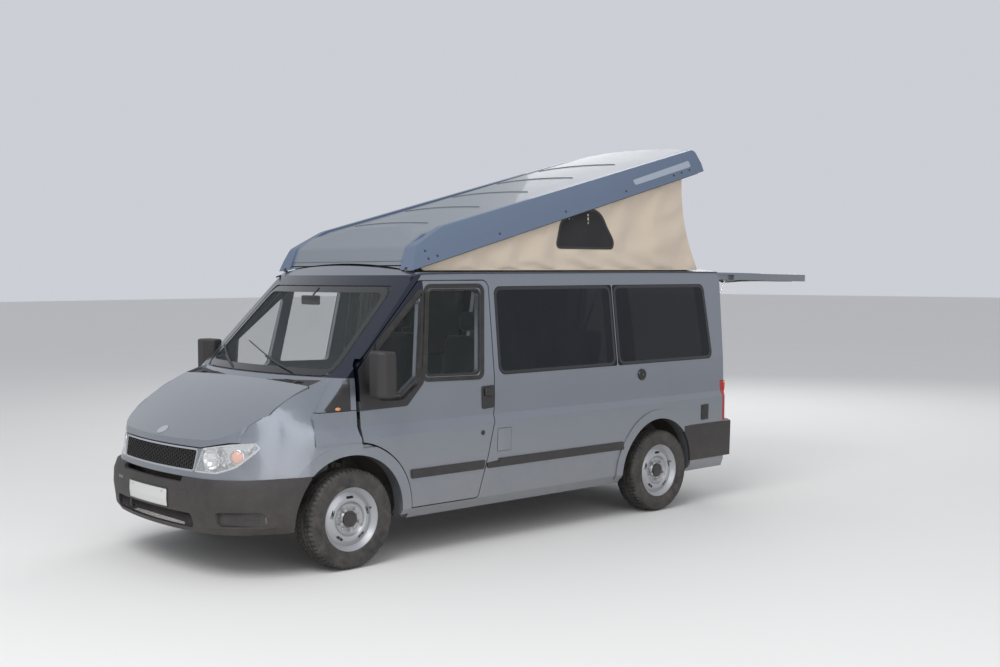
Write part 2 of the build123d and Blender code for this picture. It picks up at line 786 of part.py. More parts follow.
# Pop-up roof, modelled shut and then raised about its hinge
roof_wall = 28.0
roof_profile = [(588, 1896), (698, 2039, 60), (986, 2106, 200), (3731, 2082, 40), (3726, 1896)]
roof_section = [(-832, 1880), (-815, 1960), (-745, 2110, 40), (745, 2110, 40), (815, 1960), (832, 1880)]

# Between the side rails lies a sunk panel with a crown, crossed by long low swages
rail_inner = 690.0
panel_profile = [(602, 1896), (709, 2027, 60), (988, 2092, 200), (3800, 2068), (3800, 1896)]
crown_profile = [(602, 1896), (702, 2036, 60), (986, 2128, 200), (3731, 2128, 40), (3726, 1896)]
crown_top = 2125.0
crown_edge = 2081.0
swage_stations = (1100.0, 1600.0, 2100.0, 2600.0, 3100.0)
swage_half = 450.0
swage_width = 26.0
swage_height = 7.0


def crown_form(lift):
    """The crowned panel between the rails, raised by lift."""
    a = Vector(560, -rail_inner, crown_edge + lift)
    m = Vector(560, 0, crown_top + lift)
    b = Vector(560, rail_inner, crown_edge + lift)
    c, d = Vector(560, rail_inner, 1950), Vector(560, -rail_inner, 1950)
    face = Face(Wire([Edge.make_three_point_arc(a, m, b), Edge.make_line(b, c), Edge.make_line(c, d),
                      Edge.make_line(d, a)]))
    bar = Solid.extrude(face, Vector(3171, 0, 0))
    raised_profile = [(point[0], point[1] + lift) + tuple(point[2:]) for point in crown_profile]
    return bar & side_prism(raised_profile, -900, 900)


def swage(station):
    """Outline from above of a swage, widest in the middle."""
    shares = [i / 4 for i in range(-4, 5)]
    rear = [(station + swage_width * (1 - t * t), swage_half * t) for t in shares]
    front = [(station - swage_width * (1 - t * t), swage_half * t) for t in reversed(shares[1:-1])]
    return plan_prism(rear + front, 1960, 2200)


def roof_lid():
    outer = side_prism(roof_profile, -900, 900) & front_prism(roof_section, 500, 3800)
    outer -= block(500, 3800, -rail_inner, rail_inner, 1850, 2300) - side_prism(panel_profile, -900, 900)
    outer = outer.fuse(crown_form(0))
    ridges = crown_form(swage_height)
    for station in swage_stations:
        outer = outer.fuse(ridges & swage(station))
    inner_profile = side_prism(roof_profile, -900, 900, -roof_wall)
    inner_profile = inner_profile.fuse(block(620, 3700, -900, 900, 1800, 1925))
    inner = inner_profile & front_prism(roof_section, 500, 3800, -roof_wall).fuse(
        block(500, 3800, -804, 804, 1700, 1925))
    lid = outer - inner
    lid -= cabin_tube(-move_gap)
    x, z = roof_axis
    for sign in (-1, 1):
        ear = block(x - 8, x + 70, sign * 770, sign * 806, z - 6, z + 16) & outer
        lid = lid.fuse(ear)
        lid -= across(x, z, pin_radius + pin_fit, sign * 740, sign * 803)
        lid -= block(x - 16, x + 30, sign * 736, sign * 769, z - 30, z + 14)
    return biggest(lid)


def raised(shape, sign=1):
    """Turns a shut roof piece up about the roof's hinge."""
    axis = Axis((roof_axis[0], 0, roof_axis[1]), (0, 1, 0))
    return shape.rotate(axis, -roof_open_angle)


def roof_hinges():
    x, z = roof_axis
    solids = []
    for sign in (-1, 1):
        post = block(x - 10, x + 14, sign * 745, sign * 763, z - 40, z + 5) - cabin_skin
        pin = across(x, z, pin_radius, sign * 747, sign * 800)
        solids.append(biggest(post.fuse(pin)))
    return together(*solids)


tent_half = 784.0
tent_wall = 8.0
tent_profile = [(705, 1700), (705, 1925), (3392, 2652), (3420, 2500), (3500, 2150), (3598, 1700)]


def roof_tent():
    outer = side_prism(tent_profile, -tent_half, tent_half)
    inner = side_prism(tent_profile, -tent_half + tent_wall, tent_half - tent_wall, -tent_wall)
    inner = inner.fuse(block(740, 3560, -tent_half + tent_wall, tent_half - tent_wall, 1600, 1940))
    inner = inner.fuse(side_prism([(760, 1900), (3380, 2600), (3360, 3000), (760, 3000)],
                                  -tent_half + tent_wall, tent_half - tent_wall))
    tent = outer - inner - cabin_tube(-seat_gap)
    return biggest(tent)


# Tailgate, modelled shut and then raised
gate_knuckle = 12.0


def gate_panel():
    panel = outer_block - (cabin_skin & rear_side(gate_wall))
    panel &= front_prism(gate_outline, 3700, 3900)
    pane_depth = glass_recess + glass_wall
    rebate = front_prism(gate_pane_outline, 3700, 3900) - rear_side(pane_depth + seat_gap)
    panel -= rebate.fuse(front_prism(gate_pane_outline, 3700, 3900, -glass_lip))
    inside = gate_outer_x - gate_wall
    for sign in (-1, 1):
        channel = block(inside - 1, inside + 42, sign * 711, sign * 800,
                        gate_axis[1] - 300, gate_axis[1] - 90)
        stud = block(strut_eye_shut[0] - 9, inside + 8, sign * 700, sign * (strut_y - 5.5 - 0.7),
                     strut_eye_shut[1] - 9, strut_eye_shut[1] + 9)
        panel -= channel
        panel = panel.fuse(stud)
    x, z = gate_axis
    for sign in (-1, 1):
        ear = block(x - gate_knuckle, x + 7, sign * 560, sign * 600, z - 60, z)
        panel = panel.fuse(ear, across(x, z, gate_knuckle, sign * 560, sign * 600))
        panel -= across(x, z, pin_radius + pin_fit, sign * 550, sign * 610)
    return biggest(panel)


def gate_pane():
    sheet = rear_side(glass_recess) - rear_side(glass_recess + glass_wall)
    return biggest(sheet & front_prism(gate_pane_outline, 3700, 3900, -1.0))


def gate_hinges():
    x, z = gate_axis
    solids = []
    for sign in (-1, 1):
        post = block(x - 60, x + 5, sign * 606, sign * 620, z - 5, z + 20)
        post = post - roof_panel_block()
        pin = across(x, z, pin_radius, sign * 562, sign * 618)
        solids.append(post.fuse(pin))
    return together(*solids)


def roof_panel_block():
    strip = cabin_skin & block(3000, 3900, -900, 900, 1700, 2000)
    return strip - across(gate_axis[0], gate_axis[1], 40, -1000, 1000)


def strut_eye_raised():
    x, z = strut_eye_shut[0] - gate_axis[0], strut_eye_shut[1] - gate_axis[1]
    turn = radians(gate_open_angle)
    return (gate_axis[0] + x * cos(turn) - z * sin(turn), gate_axis[1] + x * sin(turn) + z * cos(turn))


def along_strut(start, end, radius):
    """A round bar on the left strut's line, between two distances from its foot."""
    foot = Vector(strut_foot[0], -strut_y, strut_foot[1])
    eye = strut_eye_raised()
    direction = (Vector(eye[0], -strut_y, eye[1]) - foot).normalized()
    return rod(foot + direction * start, foot + direction * end, radius)


def strut_length():
    eye = strut_eye_raised()
    return hypot(eye[0] - strut_foot[0], eye[1] - strut_foot[1])


def strut_cylinders():
    x, z = strut_foot
    tube = along_strut(0, 335, 10) - along_strut(60, 336, 5 + pin_fit)
    eye = across(x, z, 12, -strut_y - 6, -strut_y + 6)
    tube = tube.fuse(eye) - across(x, z, pin_radius + pin_fit, -strut_y - 20, -strut_y + 20)
    return both_sides(biggest(tube))


def strut_rods():
    length = strut_length()
    x, z = strut_eye_raised()
    bar = along_strut(300, length - 4, 5).fuse(across(x, z, 11, -strut_y - 6, -strut_y + 5.5))
    return both_sides(biggest(bar))


def strut_brackets():
    x, z = strut_foot
    foot = block(x - 14, x + 7, -strut_y - 100, -strut_y - 12, z - 14, z + 14)
    foot = foot.fuse(across(x, z, pin_radius, -strut_y - 14, -strut_y + 6))
    return both_sides(biggest(foot))


def lifted(shape):
    axis = Axis((gate_axis[0], 0, gate_axis[1]), (0, 1, 0))
    return shape.rotate(axis, -gate_open_angle)


# Wheels
def revolved(points):
    """Turns a profile of (station along y, radius) points round the y axis."""
    face = Face(Wire.make_polygon([Vector(0, a, b) for a, b in points], close=True))
    return Solid.revolve(face, 360, Axis((0, 0, 0), (0, 1, 0)))


tyre_profile = [(-75, 318), (75, 318), (94, 300), (99, 258), (89, 226), (79, 213), (79, 200.5),
                (-79, 200.5), (-79, 213), (-89, 226), (-99, 258), (-94, 300)]
rim_profile = [(-86, 208), (-82, 211), (-79.3, 200), (79.3, 200), (82, 211), (86, 208), (84, 192), (60, 180),
               (20, 168), (-34, 170), (-50, 138), (-52, 116), (-32, 98), (-28, 56), (-50, 34), (-50, 0.0),
               (-58, 0.0), (-62, 34), (-66, 38), (-62, 46), (-44, 60), (-46, 96), (-52, 104), (-64, 112),
               (-68, 122), (-66, 140), (-58, 156), (-50, 172), (-66, 188)]


def tyre():
    return revolved(tyre_profile)


stud_count = 5
stud_circle = 75.0
slot_circle = 139.0
slot_width = 17.0
slot_length = 56.0


def on_wheel(turn, radius):
    """A place on the wheel's disc, whose own z axis runs along the axle."""
    return Pos(0, -60, 0) * Rot(0, turn, 0) * Pos(0, 0, radius) * Rot(90, 0, 0)


def rim():
    """Steel wheel whose outside faces -y."""
    wheel_body = revolved(rim_profile)
    for i in range(stud_count):
        turn = 360 / stud_count * i
        slot = extrude(SlotOverall(slot_length, slot_width), 45, both=True)
        wheel_body -= on_wheel(turn, slot_circle) * slot
        wheel_body = wheel_body.fuse(on_wheel(turn + 180 / stud_count, stud_circle) * Cylinder(10, 30))
    return biggest(wheel_body)


def placed_wheel(shape, x, sign):
    shape = shape if sign < 0 else mirrored(shape)
    return Pos(x, sign * half_track, axle_z) * shape


hub_face = 28.0 - seat_gap         # the hubs' outer faces, outside the tyre's centre plane
lower_arm_top = 200.0
strut_top_z = front_arch_z + arch_radius + 12


def knuckle():
    """Left knuckle with its disc brake, stub and strut."""
    y = -half_track
    hub = across(0, axle_z, 58, y - hub_face, y + 60)
    disc = across(0, axle_z, 132, y + 40, y + 58)
    upright_arm = block(-30, 30, y + 60, -kingpin_y + 20, lower_arm_top + seat_gap, axle_z + 80)
    strut = upright(0, -kingpin_y, 24, axle_z + 60, strut_top_z)
    arm = block(-150, 0, -kingpin_y - 10, -kingpin_y + 10, axle_z - 60, axle_z - 40)
    return biggest(hub.fuse(disc, upright_arm, strut, arm))


def front_axle():
    """Subframe with the lower arms, and the strut towers above."""
    frame = block(-160, 160, -420, 420, 250, rail_top - rail_height - seat_gap)
    for sign in (-1, 1):
        arm = block(-45, 45, sign * 400, sign * (kingpin_y - 5), 176, lower_arm_top)
        arm = block(-60, 60, sign * 380, sign * 425, 176, 300).fuse(arm)
        frame = frame.fuse(arm)
    return frame


def rear_axle():
    beam = across(wheelbase, axle_z, 42, -790, 790)
    for sign in (-1, 1):
        drum = across(wheelbase, axle_z, 128, sign * 765, sign * 826)
        hub = across(wheelbase, axle_z, 56, sign * 820, sign * (half_track + hub_face))
        beam = beam.fuse(drum, hub)
    return biggest(beam)


spring_outline = [(2320, 352), (2560, 272), (2850, 246), (3016, 246), (3300, 272), (3540, 352),
                  (3540, 372), (3300, 292), (3016, 275.7), (2850, 275.7), (2560, 292), (2320, 372)]


def leaf_springs():
    leaf = side_prism(spring_outline, -560, -490)
    for x in (2330, 3530):
        leaf = leaf.fuse(block(x - 22, x + 22, -562, -488, 340, rail_top))
    return both_sides(leaf)


# Engine, tank, exhaust, spare wheel
def engine():
    return block(-690, -230, -330, 330, crossmember_top + seat_gap, 860)


def radiator():
    return block(-800, -740, -440, 440, rail_top + seat_gap, 760)


def fuel_tank():
    return fillet(block(1050, 1700, -780, -500, 232, rail_top - seat_gap).edges(), 25)


def exhaust():
    pipe = rod((200, 250, 262), (2000, 250, 262), 26)
    box_ = fillet(block(1200, 1760, 150, 350, 200, 300).edges(), 30)
    tail = rod((1999, 250, 262), (2300, 250, 262), 26)
    for x in (540, 1480, 2200):
        pipe = pipe.fuse(block(x - 10, x + 10, 244, 256, 270, rail_top - seat_gap))
    return biggest(pipe.fuse(box_, tail))


def spare_wheel():
    width = 165.0
    disc = Pos(3420, 0, rail_top - seat_gap - width / 2) * Cylinder(290, width)
    return fillet(disc.edges(), 30)


# Cabin
steering_centre = (440.0, -430.0, 1130.0)
steering_tilt = -40.0


def dashboard():
    points = [(-140, floor_z + seat_gap), (-140, 1115), (60, 1175, 60), (330, 1120, 60),
              (350, 900, 60), (240, 760),
              (100, floor_z + 200), (60, floor_z + seat_gap)]
    body = side_prism(points, -850, 850)
    body &= (cabin_tube(body_wall + seat_gap) & screen_side(60 + seat_gap))
    body -= door_well()
    body -= mirrored(door_well())
    well = across(arch_front_x, front_arch_z, arch_radius + 27, -bay_half + 1, -1100)
    body -= well
    body -= mirrored(well)
    body -= Pos(*steering_centre) * Rot(0, -steering_tilt, 0) * Cylinder(20 + pin_fit, 700)
    return biggest(body)


def steering_wheel():
    ring = Torus(190, 14)
    hub = Cylinder(52, 40)
    wheel_body = ring
    for angle in (0, 180, 270):
        spoke = Rot(0, 0, angle) * Pos(105, 0, -6) * Box(170, 34, 14)
        wheel_body = wheel_body.fuse(spoke)
    shaft = Pos(0, 0, -85) * Cylinder(20, 130)
    return Pos(*steering_centre) * Rot(0, -steering_tilt, 0) * wheel_body.fuse(hub, shaft)


def seat(x, y, width):
    base = block(x, x + 420, y - width / 2 + 30, y + width / 2 - 30, floor_z + seat_gap, 720)
    cushion = fillet(block(x - 30, x + 480, y - width / 2, y + width / 2, 720, 850).edges(), 45)
    back = fillet((Pos(x + 500, y, 1130) * Rot(0, 12, 0) * Box(120, width - 20, 640)).edges(), 45)
    head = fillet((Pos(x + 585, y, 1535) * Rot(0, 12, 0) * Box(90, 270, 190)).edges(), 35)
    stalks = Pos(x + 560, y, 1435) * Rot(0, 12, 0) * Box(16, 140, 60)
    return biggest(base.fuse(cushion, back, head, stalks))


def front_seats():
    return together(seat(760, -430, 500), seat(760, 430, 500))


def rear_bench():
    base = block(2080, 2560, -560, 560, floor_z + seat_gap, 760)
    cushion = fillet(block(2060, 2600, -580, 580, 760, 880).edges(), 45)
    back = fillet((Pos(2620, 0, 1150) * Rot(0, 10, 0) * Box(120, 1160, 600)).edges(), 45)
    return biggest(base.fuse(cushion, back))


def kitchen_unit():
    unit = block(2900, 3640, -835, -480, floor_z + seat_gap, 1120)
    unit = unit.fuse(block(2900, 3640, -835, -480, 860, 1120))
    well = across(arch_rear_x, rear_arch_z, arch_radius + 27, -639, -1100)
    return biggest(unit - well)


def shifted(shape):
    return Compound(children=[Pos(-centre_x, 0, 0) * solid for solid in solids_of(shape)])


side_left = side_with_openings()
side_right, sliding_door = slide_door_and_side(mirrored(side_left))
sides = side_left.fuse(side_right)
door_left = door_knuckles(front_door())
wing_left = biggest(wing() - side_left)
lens, bowl = headlamp()
grille_frame, grille_mesh = grille()
panes_left, panes_right = side_panes()
tyre_form, rim_form = tyre(), rim()
hinge_posts = [biggest(post - sides) for post in solids_of(together(
    both_sides(body_knuckles()), strut_brackets()))]

nodes = {
    "body_side_left": side_left,
    "body_side_right": side_right,
    "sliding_door": sliding_door,
    "roof_panel": roof_panel(),
    "cab_frame": cab_frame(),
    "windscreen": windscreen(),
    "side_windows": together(panes_left, panes_right),
    "rear_panel": rear_panel(),
    "tail_lamps": tail_lamps(),
    "rear_bumper": rear_bumper(),
    "front_wings": both_sides(wing_left),
    "front_panel": front_panel(),
    "grille_frame": grille_frame,
    "grille_mesh": grille_mesh,
    "headlamp_lenses": both_sides(lens),
    "headlamp_bowls": both_sides(bowl),
    "front_bumper": front_bumper(),
    "scuttle_panel": cowl(),
    "bonnet": bonnet(),
    "hinge_posts": together(*hinge_posts, bonnet_hinges(), roof_hinges(), gate_hinges()),
    "front_door_left": door_left,
    "front_door_right": mirrored(door_left),
    "door_windows_left": door_panes(),
    "door_windows_right": mirrored(door_panes()),
    "mirror_left": door_mirror(),
    "mirror_right": mirrored(door_mirror()),
    "floor_pan": floor_pan().fuse(biggest(bulkhead() - sides)),
    "wheel_houses": wheel_houses(),
    "chassis_frame": chassis(),
    "engine": engine(),
    "radiator": radiator(),
    "front_subframe": front_axle(),
    "rear_axle": together(rear_axle(), leaf_springs()),
    "fuel_tank": fuel_tank(),
    "exhaust": exhaust(),
    "spare_wheel": spare_wheel(),
    "dashboard": dashboard(),
    "steering_wheel": steering_wheel(),
    "front_seats": front_seats(),
    "rear_bench": rear_bench(),
    "kitchen_unit": kitchen_unit(),
    "pop_roof": raised(roof_lid()),
    "roof_tent": roof_tent(),
    "tailgate": lifted(gate_panel()),
    "tailgate_window": lifted(gate_pane()),
    "strut_cylinders": strut_cylinders(),
    "strut_rods": strut_rods(),
    "knuckle_left": knuckle(),
    "knuckle_right": mirrored(knuckle()),
}
for end, x in (("front", 0.0), ("rear", wheelbase)):
    for side, sign in (("left", -1), ("right", 1)):
        nodes[f"tyre_{end}_{side}"] = placed_wheel(tyre_form, x, sign)
        nodes[f"rim_{end}_{side}"] = placed_wheel(rim_form, x, sign)

os.makedirs("parts", exist_ok=True)
boxes = [shape.bounding_box() for shape in nodes.values()]
centre_x = (min(b.min.X for b in boxes) + max(b.max.X for b in boxes)) / 2
for name, shape in nodes.items():
    export_step(shifted(shape), f"parts/{name}.step")
print(len(nodes), "parts, shifted by", -centre_x, "mm")
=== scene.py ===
import json
import math
import bpy
from mathutils import Matrix, Vector


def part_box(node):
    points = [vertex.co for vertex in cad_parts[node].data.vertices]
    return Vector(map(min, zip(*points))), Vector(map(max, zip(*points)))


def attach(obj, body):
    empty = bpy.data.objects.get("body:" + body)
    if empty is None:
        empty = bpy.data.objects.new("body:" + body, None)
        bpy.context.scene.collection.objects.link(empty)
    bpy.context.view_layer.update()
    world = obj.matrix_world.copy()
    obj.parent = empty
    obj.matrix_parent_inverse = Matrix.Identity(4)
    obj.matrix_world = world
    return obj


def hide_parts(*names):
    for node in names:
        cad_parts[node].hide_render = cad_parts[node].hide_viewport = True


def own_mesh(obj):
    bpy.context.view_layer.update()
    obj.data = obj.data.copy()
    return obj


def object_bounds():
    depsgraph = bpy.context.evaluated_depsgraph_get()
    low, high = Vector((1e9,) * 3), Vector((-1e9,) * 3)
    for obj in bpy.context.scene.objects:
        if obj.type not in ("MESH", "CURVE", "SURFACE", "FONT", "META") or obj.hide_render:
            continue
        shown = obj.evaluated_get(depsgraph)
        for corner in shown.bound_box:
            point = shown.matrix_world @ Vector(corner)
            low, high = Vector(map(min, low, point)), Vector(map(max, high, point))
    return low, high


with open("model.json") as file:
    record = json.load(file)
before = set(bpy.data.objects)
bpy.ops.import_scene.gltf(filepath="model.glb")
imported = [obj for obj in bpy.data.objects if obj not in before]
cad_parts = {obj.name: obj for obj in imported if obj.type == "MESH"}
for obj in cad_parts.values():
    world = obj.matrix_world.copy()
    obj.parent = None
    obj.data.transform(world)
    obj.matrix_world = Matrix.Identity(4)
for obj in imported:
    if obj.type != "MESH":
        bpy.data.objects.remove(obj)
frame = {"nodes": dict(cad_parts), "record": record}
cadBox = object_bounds()
nodes = frame["nodes"]
print("frame loaded:", len(nodes), "CAD nodes")

# The van is measured in millimetres from its front axle, like its source: station rearward,
# side to its own right, height from the ground.
hubLow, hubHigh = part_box("rim_front_left")
axleStation = (hubLow.x + hubHigh.x) / 2
axleHeight, wheelbase, halfTrack = 318, 2933, 868


def spot(station, side, height):
    return Vector((axleStation + station / 1000, side / 1000, height / 1000))


# Camera where the photograph was taken from, fitted to the van's known sizes
cameraView = {"place": (-4559, -7494, 1874), "turn": 41.66, "down": 2.746, "roll": 0.193, "lens": 45.37}


def addCamera():
    turn, down = math.radians(cameraView["turn"]), math.radians(cameraView["down"])
    ahead = Vector((math.sin(turn) * math.cos(down), math.cos(turn) * math.cos(down), -math.sin(down)))
    right = Vector((math.cos(turn), -math.sin(turn), 0))
    up = right.cross(ahead)
    lean = Matrix.Rotation(math.radians(cameraView["roll"]), 3, ahead)
    right, up = lean @ right, lean @ up
    bpy.ops.object.camera_add(location=spot(*cameraView["place"]))
    camera = bpy.context.object
    facing = Matrix((right, up, -ahead)).transposed().to_4x4()
    camera.matrix_world = Matrix.Translation(camera.location) @ facing
    camera.data.sensor_width = 36
    camera.data.lens = cameraView["lens"]
    camera.data.clip_end = 200
    bpy.context.scene.camera = camera


# Shader maths: a Value is one output of a node in a Finish, and adds Math nodes when it is used in a sum
class Value:
    def __init__(self, finish, output):
        self.finish = finish
        self.output = output

    def sum(self, operation, *parts):
        return self.finish.node("Math", {"operation": operation}, dict(enumerate(parts)))

    def __add__(self, other):
        return self.sum("ADD", self, other)

    def __sub__(self, other):
        return self.sum("SUBTRACT", self, other)

    def __rsub__(self, other):
        return self.sum("SUBTRACT", other, self)

    def __mul__(self, other):
        return self.sum("MULTIPLY", self, other)

    __radd__ = __add__
    __rmul__ = __mul__

    def above(self, edge, blur):
        # Rises from 0 to 1 as the value passes the edge
        return self.finish.node("MapRange", {"clamp": True},
                                {0: self, 1: edge - blur / 2, 2: edge + blur / 2, 3: 0.0, 4: 1.0})


# One material. Its colours are written as linear red, green and blue.
class Finish:
    def __init__(self, name, colour, roughness, metallic=0.0, **sockets):
        self.material = bpy.data.materials.new(name)
        self.material.use_nodes = True
        self.tree = self.material.node_tree
        self.shader = self.tree.nodes["Principled BSDF"]
        self.put(Base_Color=colour, Roughness=roughness, Metallic=metallic, **sockets)

    def put(self, **sockets):
        for name, value in sockets.items():
            self.join(self.shader.inputs[name.replace("_", " ")], value)

    def join(self, socket, value):
        if isinstance(value, Value):
            self.tree.links.new(value.output, socket)
        elif socket.type == "RGBA":
            socket.default_value = tuple(value) + (1.0,) * (4 - len(value))
        else:
            socket.default_value = value

    def node(self, kind, settings=None, inputs=None, output=0):
        made = self.tree.nodes.new("ShaderNode" + kind)
        for name, value in (settings or {}).items():
            setattr(made, name, value)
        for name, value in (inputs or {}).items():
            self.join(made.inputs[name], value)
        return Value(self, made.outputs[output])

    def place(self):
        return self.node("TexCoord", output="Object")

    def axis(self, name):
        return self.node("SeparateXYZ", inputs={0: self.place()}, output=name)

    def stretched(self, x, y, z):
        return self.node("Mapping", inputs={"Vector": self.place(), "Scale": (x, y, z)})

    def noise(self, scale, detail=3.0, roughness=0.55, vector=None):
        return self.node("TexNoise", inputs={"Vector": vector or self.place(), "Scale": scale,
                                             "Detail": detail, "Roughness": roughness})

    def cells(self, scale):
        return self.node("TexVoronoi", {"feature": "F1"}, {"Vector": self.place(), "Scale": scale})

    def mix(self, share, low, high):
        return self.node("Mix", {"data_type": "RGBA"}, {0: share, 6: low, 7: high}, output=2)

    def bump(self, height, strength, distance):
        return self.node("Bump", inputs={"Height": height, "Strength": strength, "Distance": distance})


dustColour, rustColour = (0.36, 0.30, 0.24), (0.16, 0.07, 0.035)


def paint(name, colour, dirt=1.0, roughness=0.3, metallic=0.75, second=None, masked=None, coat=0.7):
    # Metallic lacquer with fine flake, and road dust that thickens towards the sills
    made = Finish(name, colour, roughness, metallic, Coat_Roughness=0.06, Coat_IOR=1.5)
    flake = made.noise(700, 2)
    cloud = made.noise(2.2, 4)
    dust = (1 - made.axis("Z").above(0.55, 0.7)) * made.noise(9, 6, 0.7).above(0.5, 0.5) * dirt
    shade = made.mix(flake * 0.16 + cloud * 0.14, colour, [min(c * 1.5 + 0.03, 1) for c in colour])
    if masked:
        shade = made.mix(masked(made), shade, second)
    made.put(Base_Color=made.mix(dust * 0.35, shade, dustColour),
             Roughness=dust * 0.3 + cloud * 0.08 + roughness - 0.04,
             Metallic=metallic - dust * 0.4, Coat_Weight=coat - dust * (coat - 0.1),
             Normal=made.bump(flake, 0.04, 0.0005))
    return made.material


def mouldedPlastic(name, colour, roughness=0.55, grain=420, depth=0.0006, fade=0.25, dirt=0.5):
    # Grained moulding, greyed in patches by sun, dusty low down
    made = Finish(name, colour, roughness)
    leather = made.cells(grain)
    patch = made.noise(5, 5, 0.6)
    dust = (1 - made.axis("Z").above(0.5, 0.6)) * made.noise(12, 6, 0.7).above(0.5, 0.5) * dirt
    grey = [c * 0.7 + 0.08 for c in colour]
    made.put(Base_Color=made.mix(dust * 0.3, made.mix(patch * fade, colour, grey), dustColour),
             Roughness=patch * 0.15 + roughness - 0.08 + dust * 0.2,
             Normal=made.bump(leather, 0.35, depth))
    return made.material


def bareMetal(name, colour, roughness=0.3, rust=0.0):
    # Metal brushed in one direction, with spots of rust where it is old
    made = Finish(name, colour, roughness, 1.0)
    brushed = made.noise(1.0, 4, 0.6, made.stretched(40, 40, 900))
    spots = made.noise(26, 8, 0.7).above(0.62, 0.12) * rust
    shade = made.mix(brushed * 0.3, colour, [c * 0.6 for c in colour])
    made.put(Base_Color=made.mix(spots, shade, rustColour),
             Metallic=1 - spots * 0.85, Roughness=brushed * 0.2 + roughness - 0.1 + spots * 0.5,
             Normal=made.bump(brushed + spots * 2, 0.08, 0.0006))
    return made.material


def blackSteel(name, colour=(0.03, 0.03, 0.032), rust=0.5):
    # Underbody paint: thick, dusty and rusting in spots
    made = Finish(name, colour, 0.6)
    spots = made.noise(16, 8, 0.7).above(0.63, 0.1) * rust
    dust = made.noise(5, 5, 0.7).above(0.55, 0.4)
    made.put(Base_Color=made.mix(spots, made.mix(dust * 0.35, colour, dustColour), (0.13, 0.055, 0.03)),
             Roughness=dust * 0.3 + 0.5, Normal=made.bump(made.noise(60, 6), 0.25, 0.002))
    return made.material


def rubber(name, colour=(0.022, 0.022, 0.023), dust=0.35):
    made = Finish(name, colour, 0.72)
    worn = made.noise(14, 6, 0.7)
    film = worn.above(0.52, 0.35) * dust
    made.put(Base_Color=made.mix(film, colour, (0.2, 0.17, 0.14)), Roughness=worn * 0.25 + 0.6,
             Normal=made.bump(made.noise(260, 5), 0.2, 0.0008))
    return made.material


def glass(name, colour, alpha, roughness=0.03, bend=1.45, film=0.12):
    # Glazing: a tinted sheet that lets light through by its alpha, with a thin uneven film of dust
    made = Finish(name, colour, roughness, IOR=bend)
    smear = made.noise(3.5, 6, 0.6)
    made.put(Base_Color=made.mix(smear * film, colour, (0.4, 0.4, 0.38)), Roughness=smear * 0.04 + roughness,
             Alpha=smear * 0.04 + alpha)
    return made.material


def cloth(name, colour, second, weave=900, depth=0.0008, roughness=0.9, blotch=0.3, sheen=0.25):
    # Woven cloth: two crossed threads, with soft blotches
    made = Finish(name, colour, roughness, Sheen_Weight=sheen, Sheen_Roughness=0.5)
    across, up = [made.node("TexWave", {"bands_direction": way},
                            {"Vector": made.place(), "Scale": weave / 6, "Distortion": 0.6}) for way in "XZ"]
    threads = across * up
    stain = made.noise(2.4, 6, 0.6)
    made.put(Base_Color=made.mix(threads * 0.35 + stain * blotch, colour, second),
             Roughness=stain * 0.1 + roughness - 0.06,
             Normal=made.bump(threads + made.noise(30, 4) * 0.8, 0.4, depth))
    return made.material


def board(name, colour, second, grain=(6, 6, 60)):
    # Laminate with a faint wood grain
    made = Finish(name, colour, 0.4, Coat_Weight=0.2)
    grainLine = made.noise(3.0, 6, 0.6, made.stretched(*grain))
    made.put(Base_Color=made.mix(grainLine, colour, second), Roughness=grainLine * 0.15 + 0.35,
             Normal=made.bump(grainLine, 0.1, 0.0005))
    return made.material


# The pillars' dark film, and painted shade on the header under the raised roof: a mask over stations and heights
# in metres
def pillarFilmAndHeaderShade(made):
    station, height = made.axis("X") - axleStation, made.axis("Z")
    line = height - station * 1.074
    return line.above(1.150, 0.004) * height.above(1.212, 0.004) * (1 - station.above(0.66, 0.004))


def doorPillar(made):
    station, height = made.axis("X") - axleStation, made.axis("Z")
    overPane = (height - station * 0.858).above(1.170, 0.004) * (1 - station.above(0.665, 0.004))
    inFront = height.above(1.06, 0.004) * (1 - station.above(0.236, 0.004))
    return (overPane * height.above(1.2, 0.004) + inFront).above(0.5, 0.2)


# Painted light on the raised roof: the middle of its shell is painted paler as sky light, its flanks darker as
# painted shade
def roofMiddleSkyLight(made):
    side = made.axis("Y")
    return 1 - (side * side).above(0.66 ** 2, 0.04)


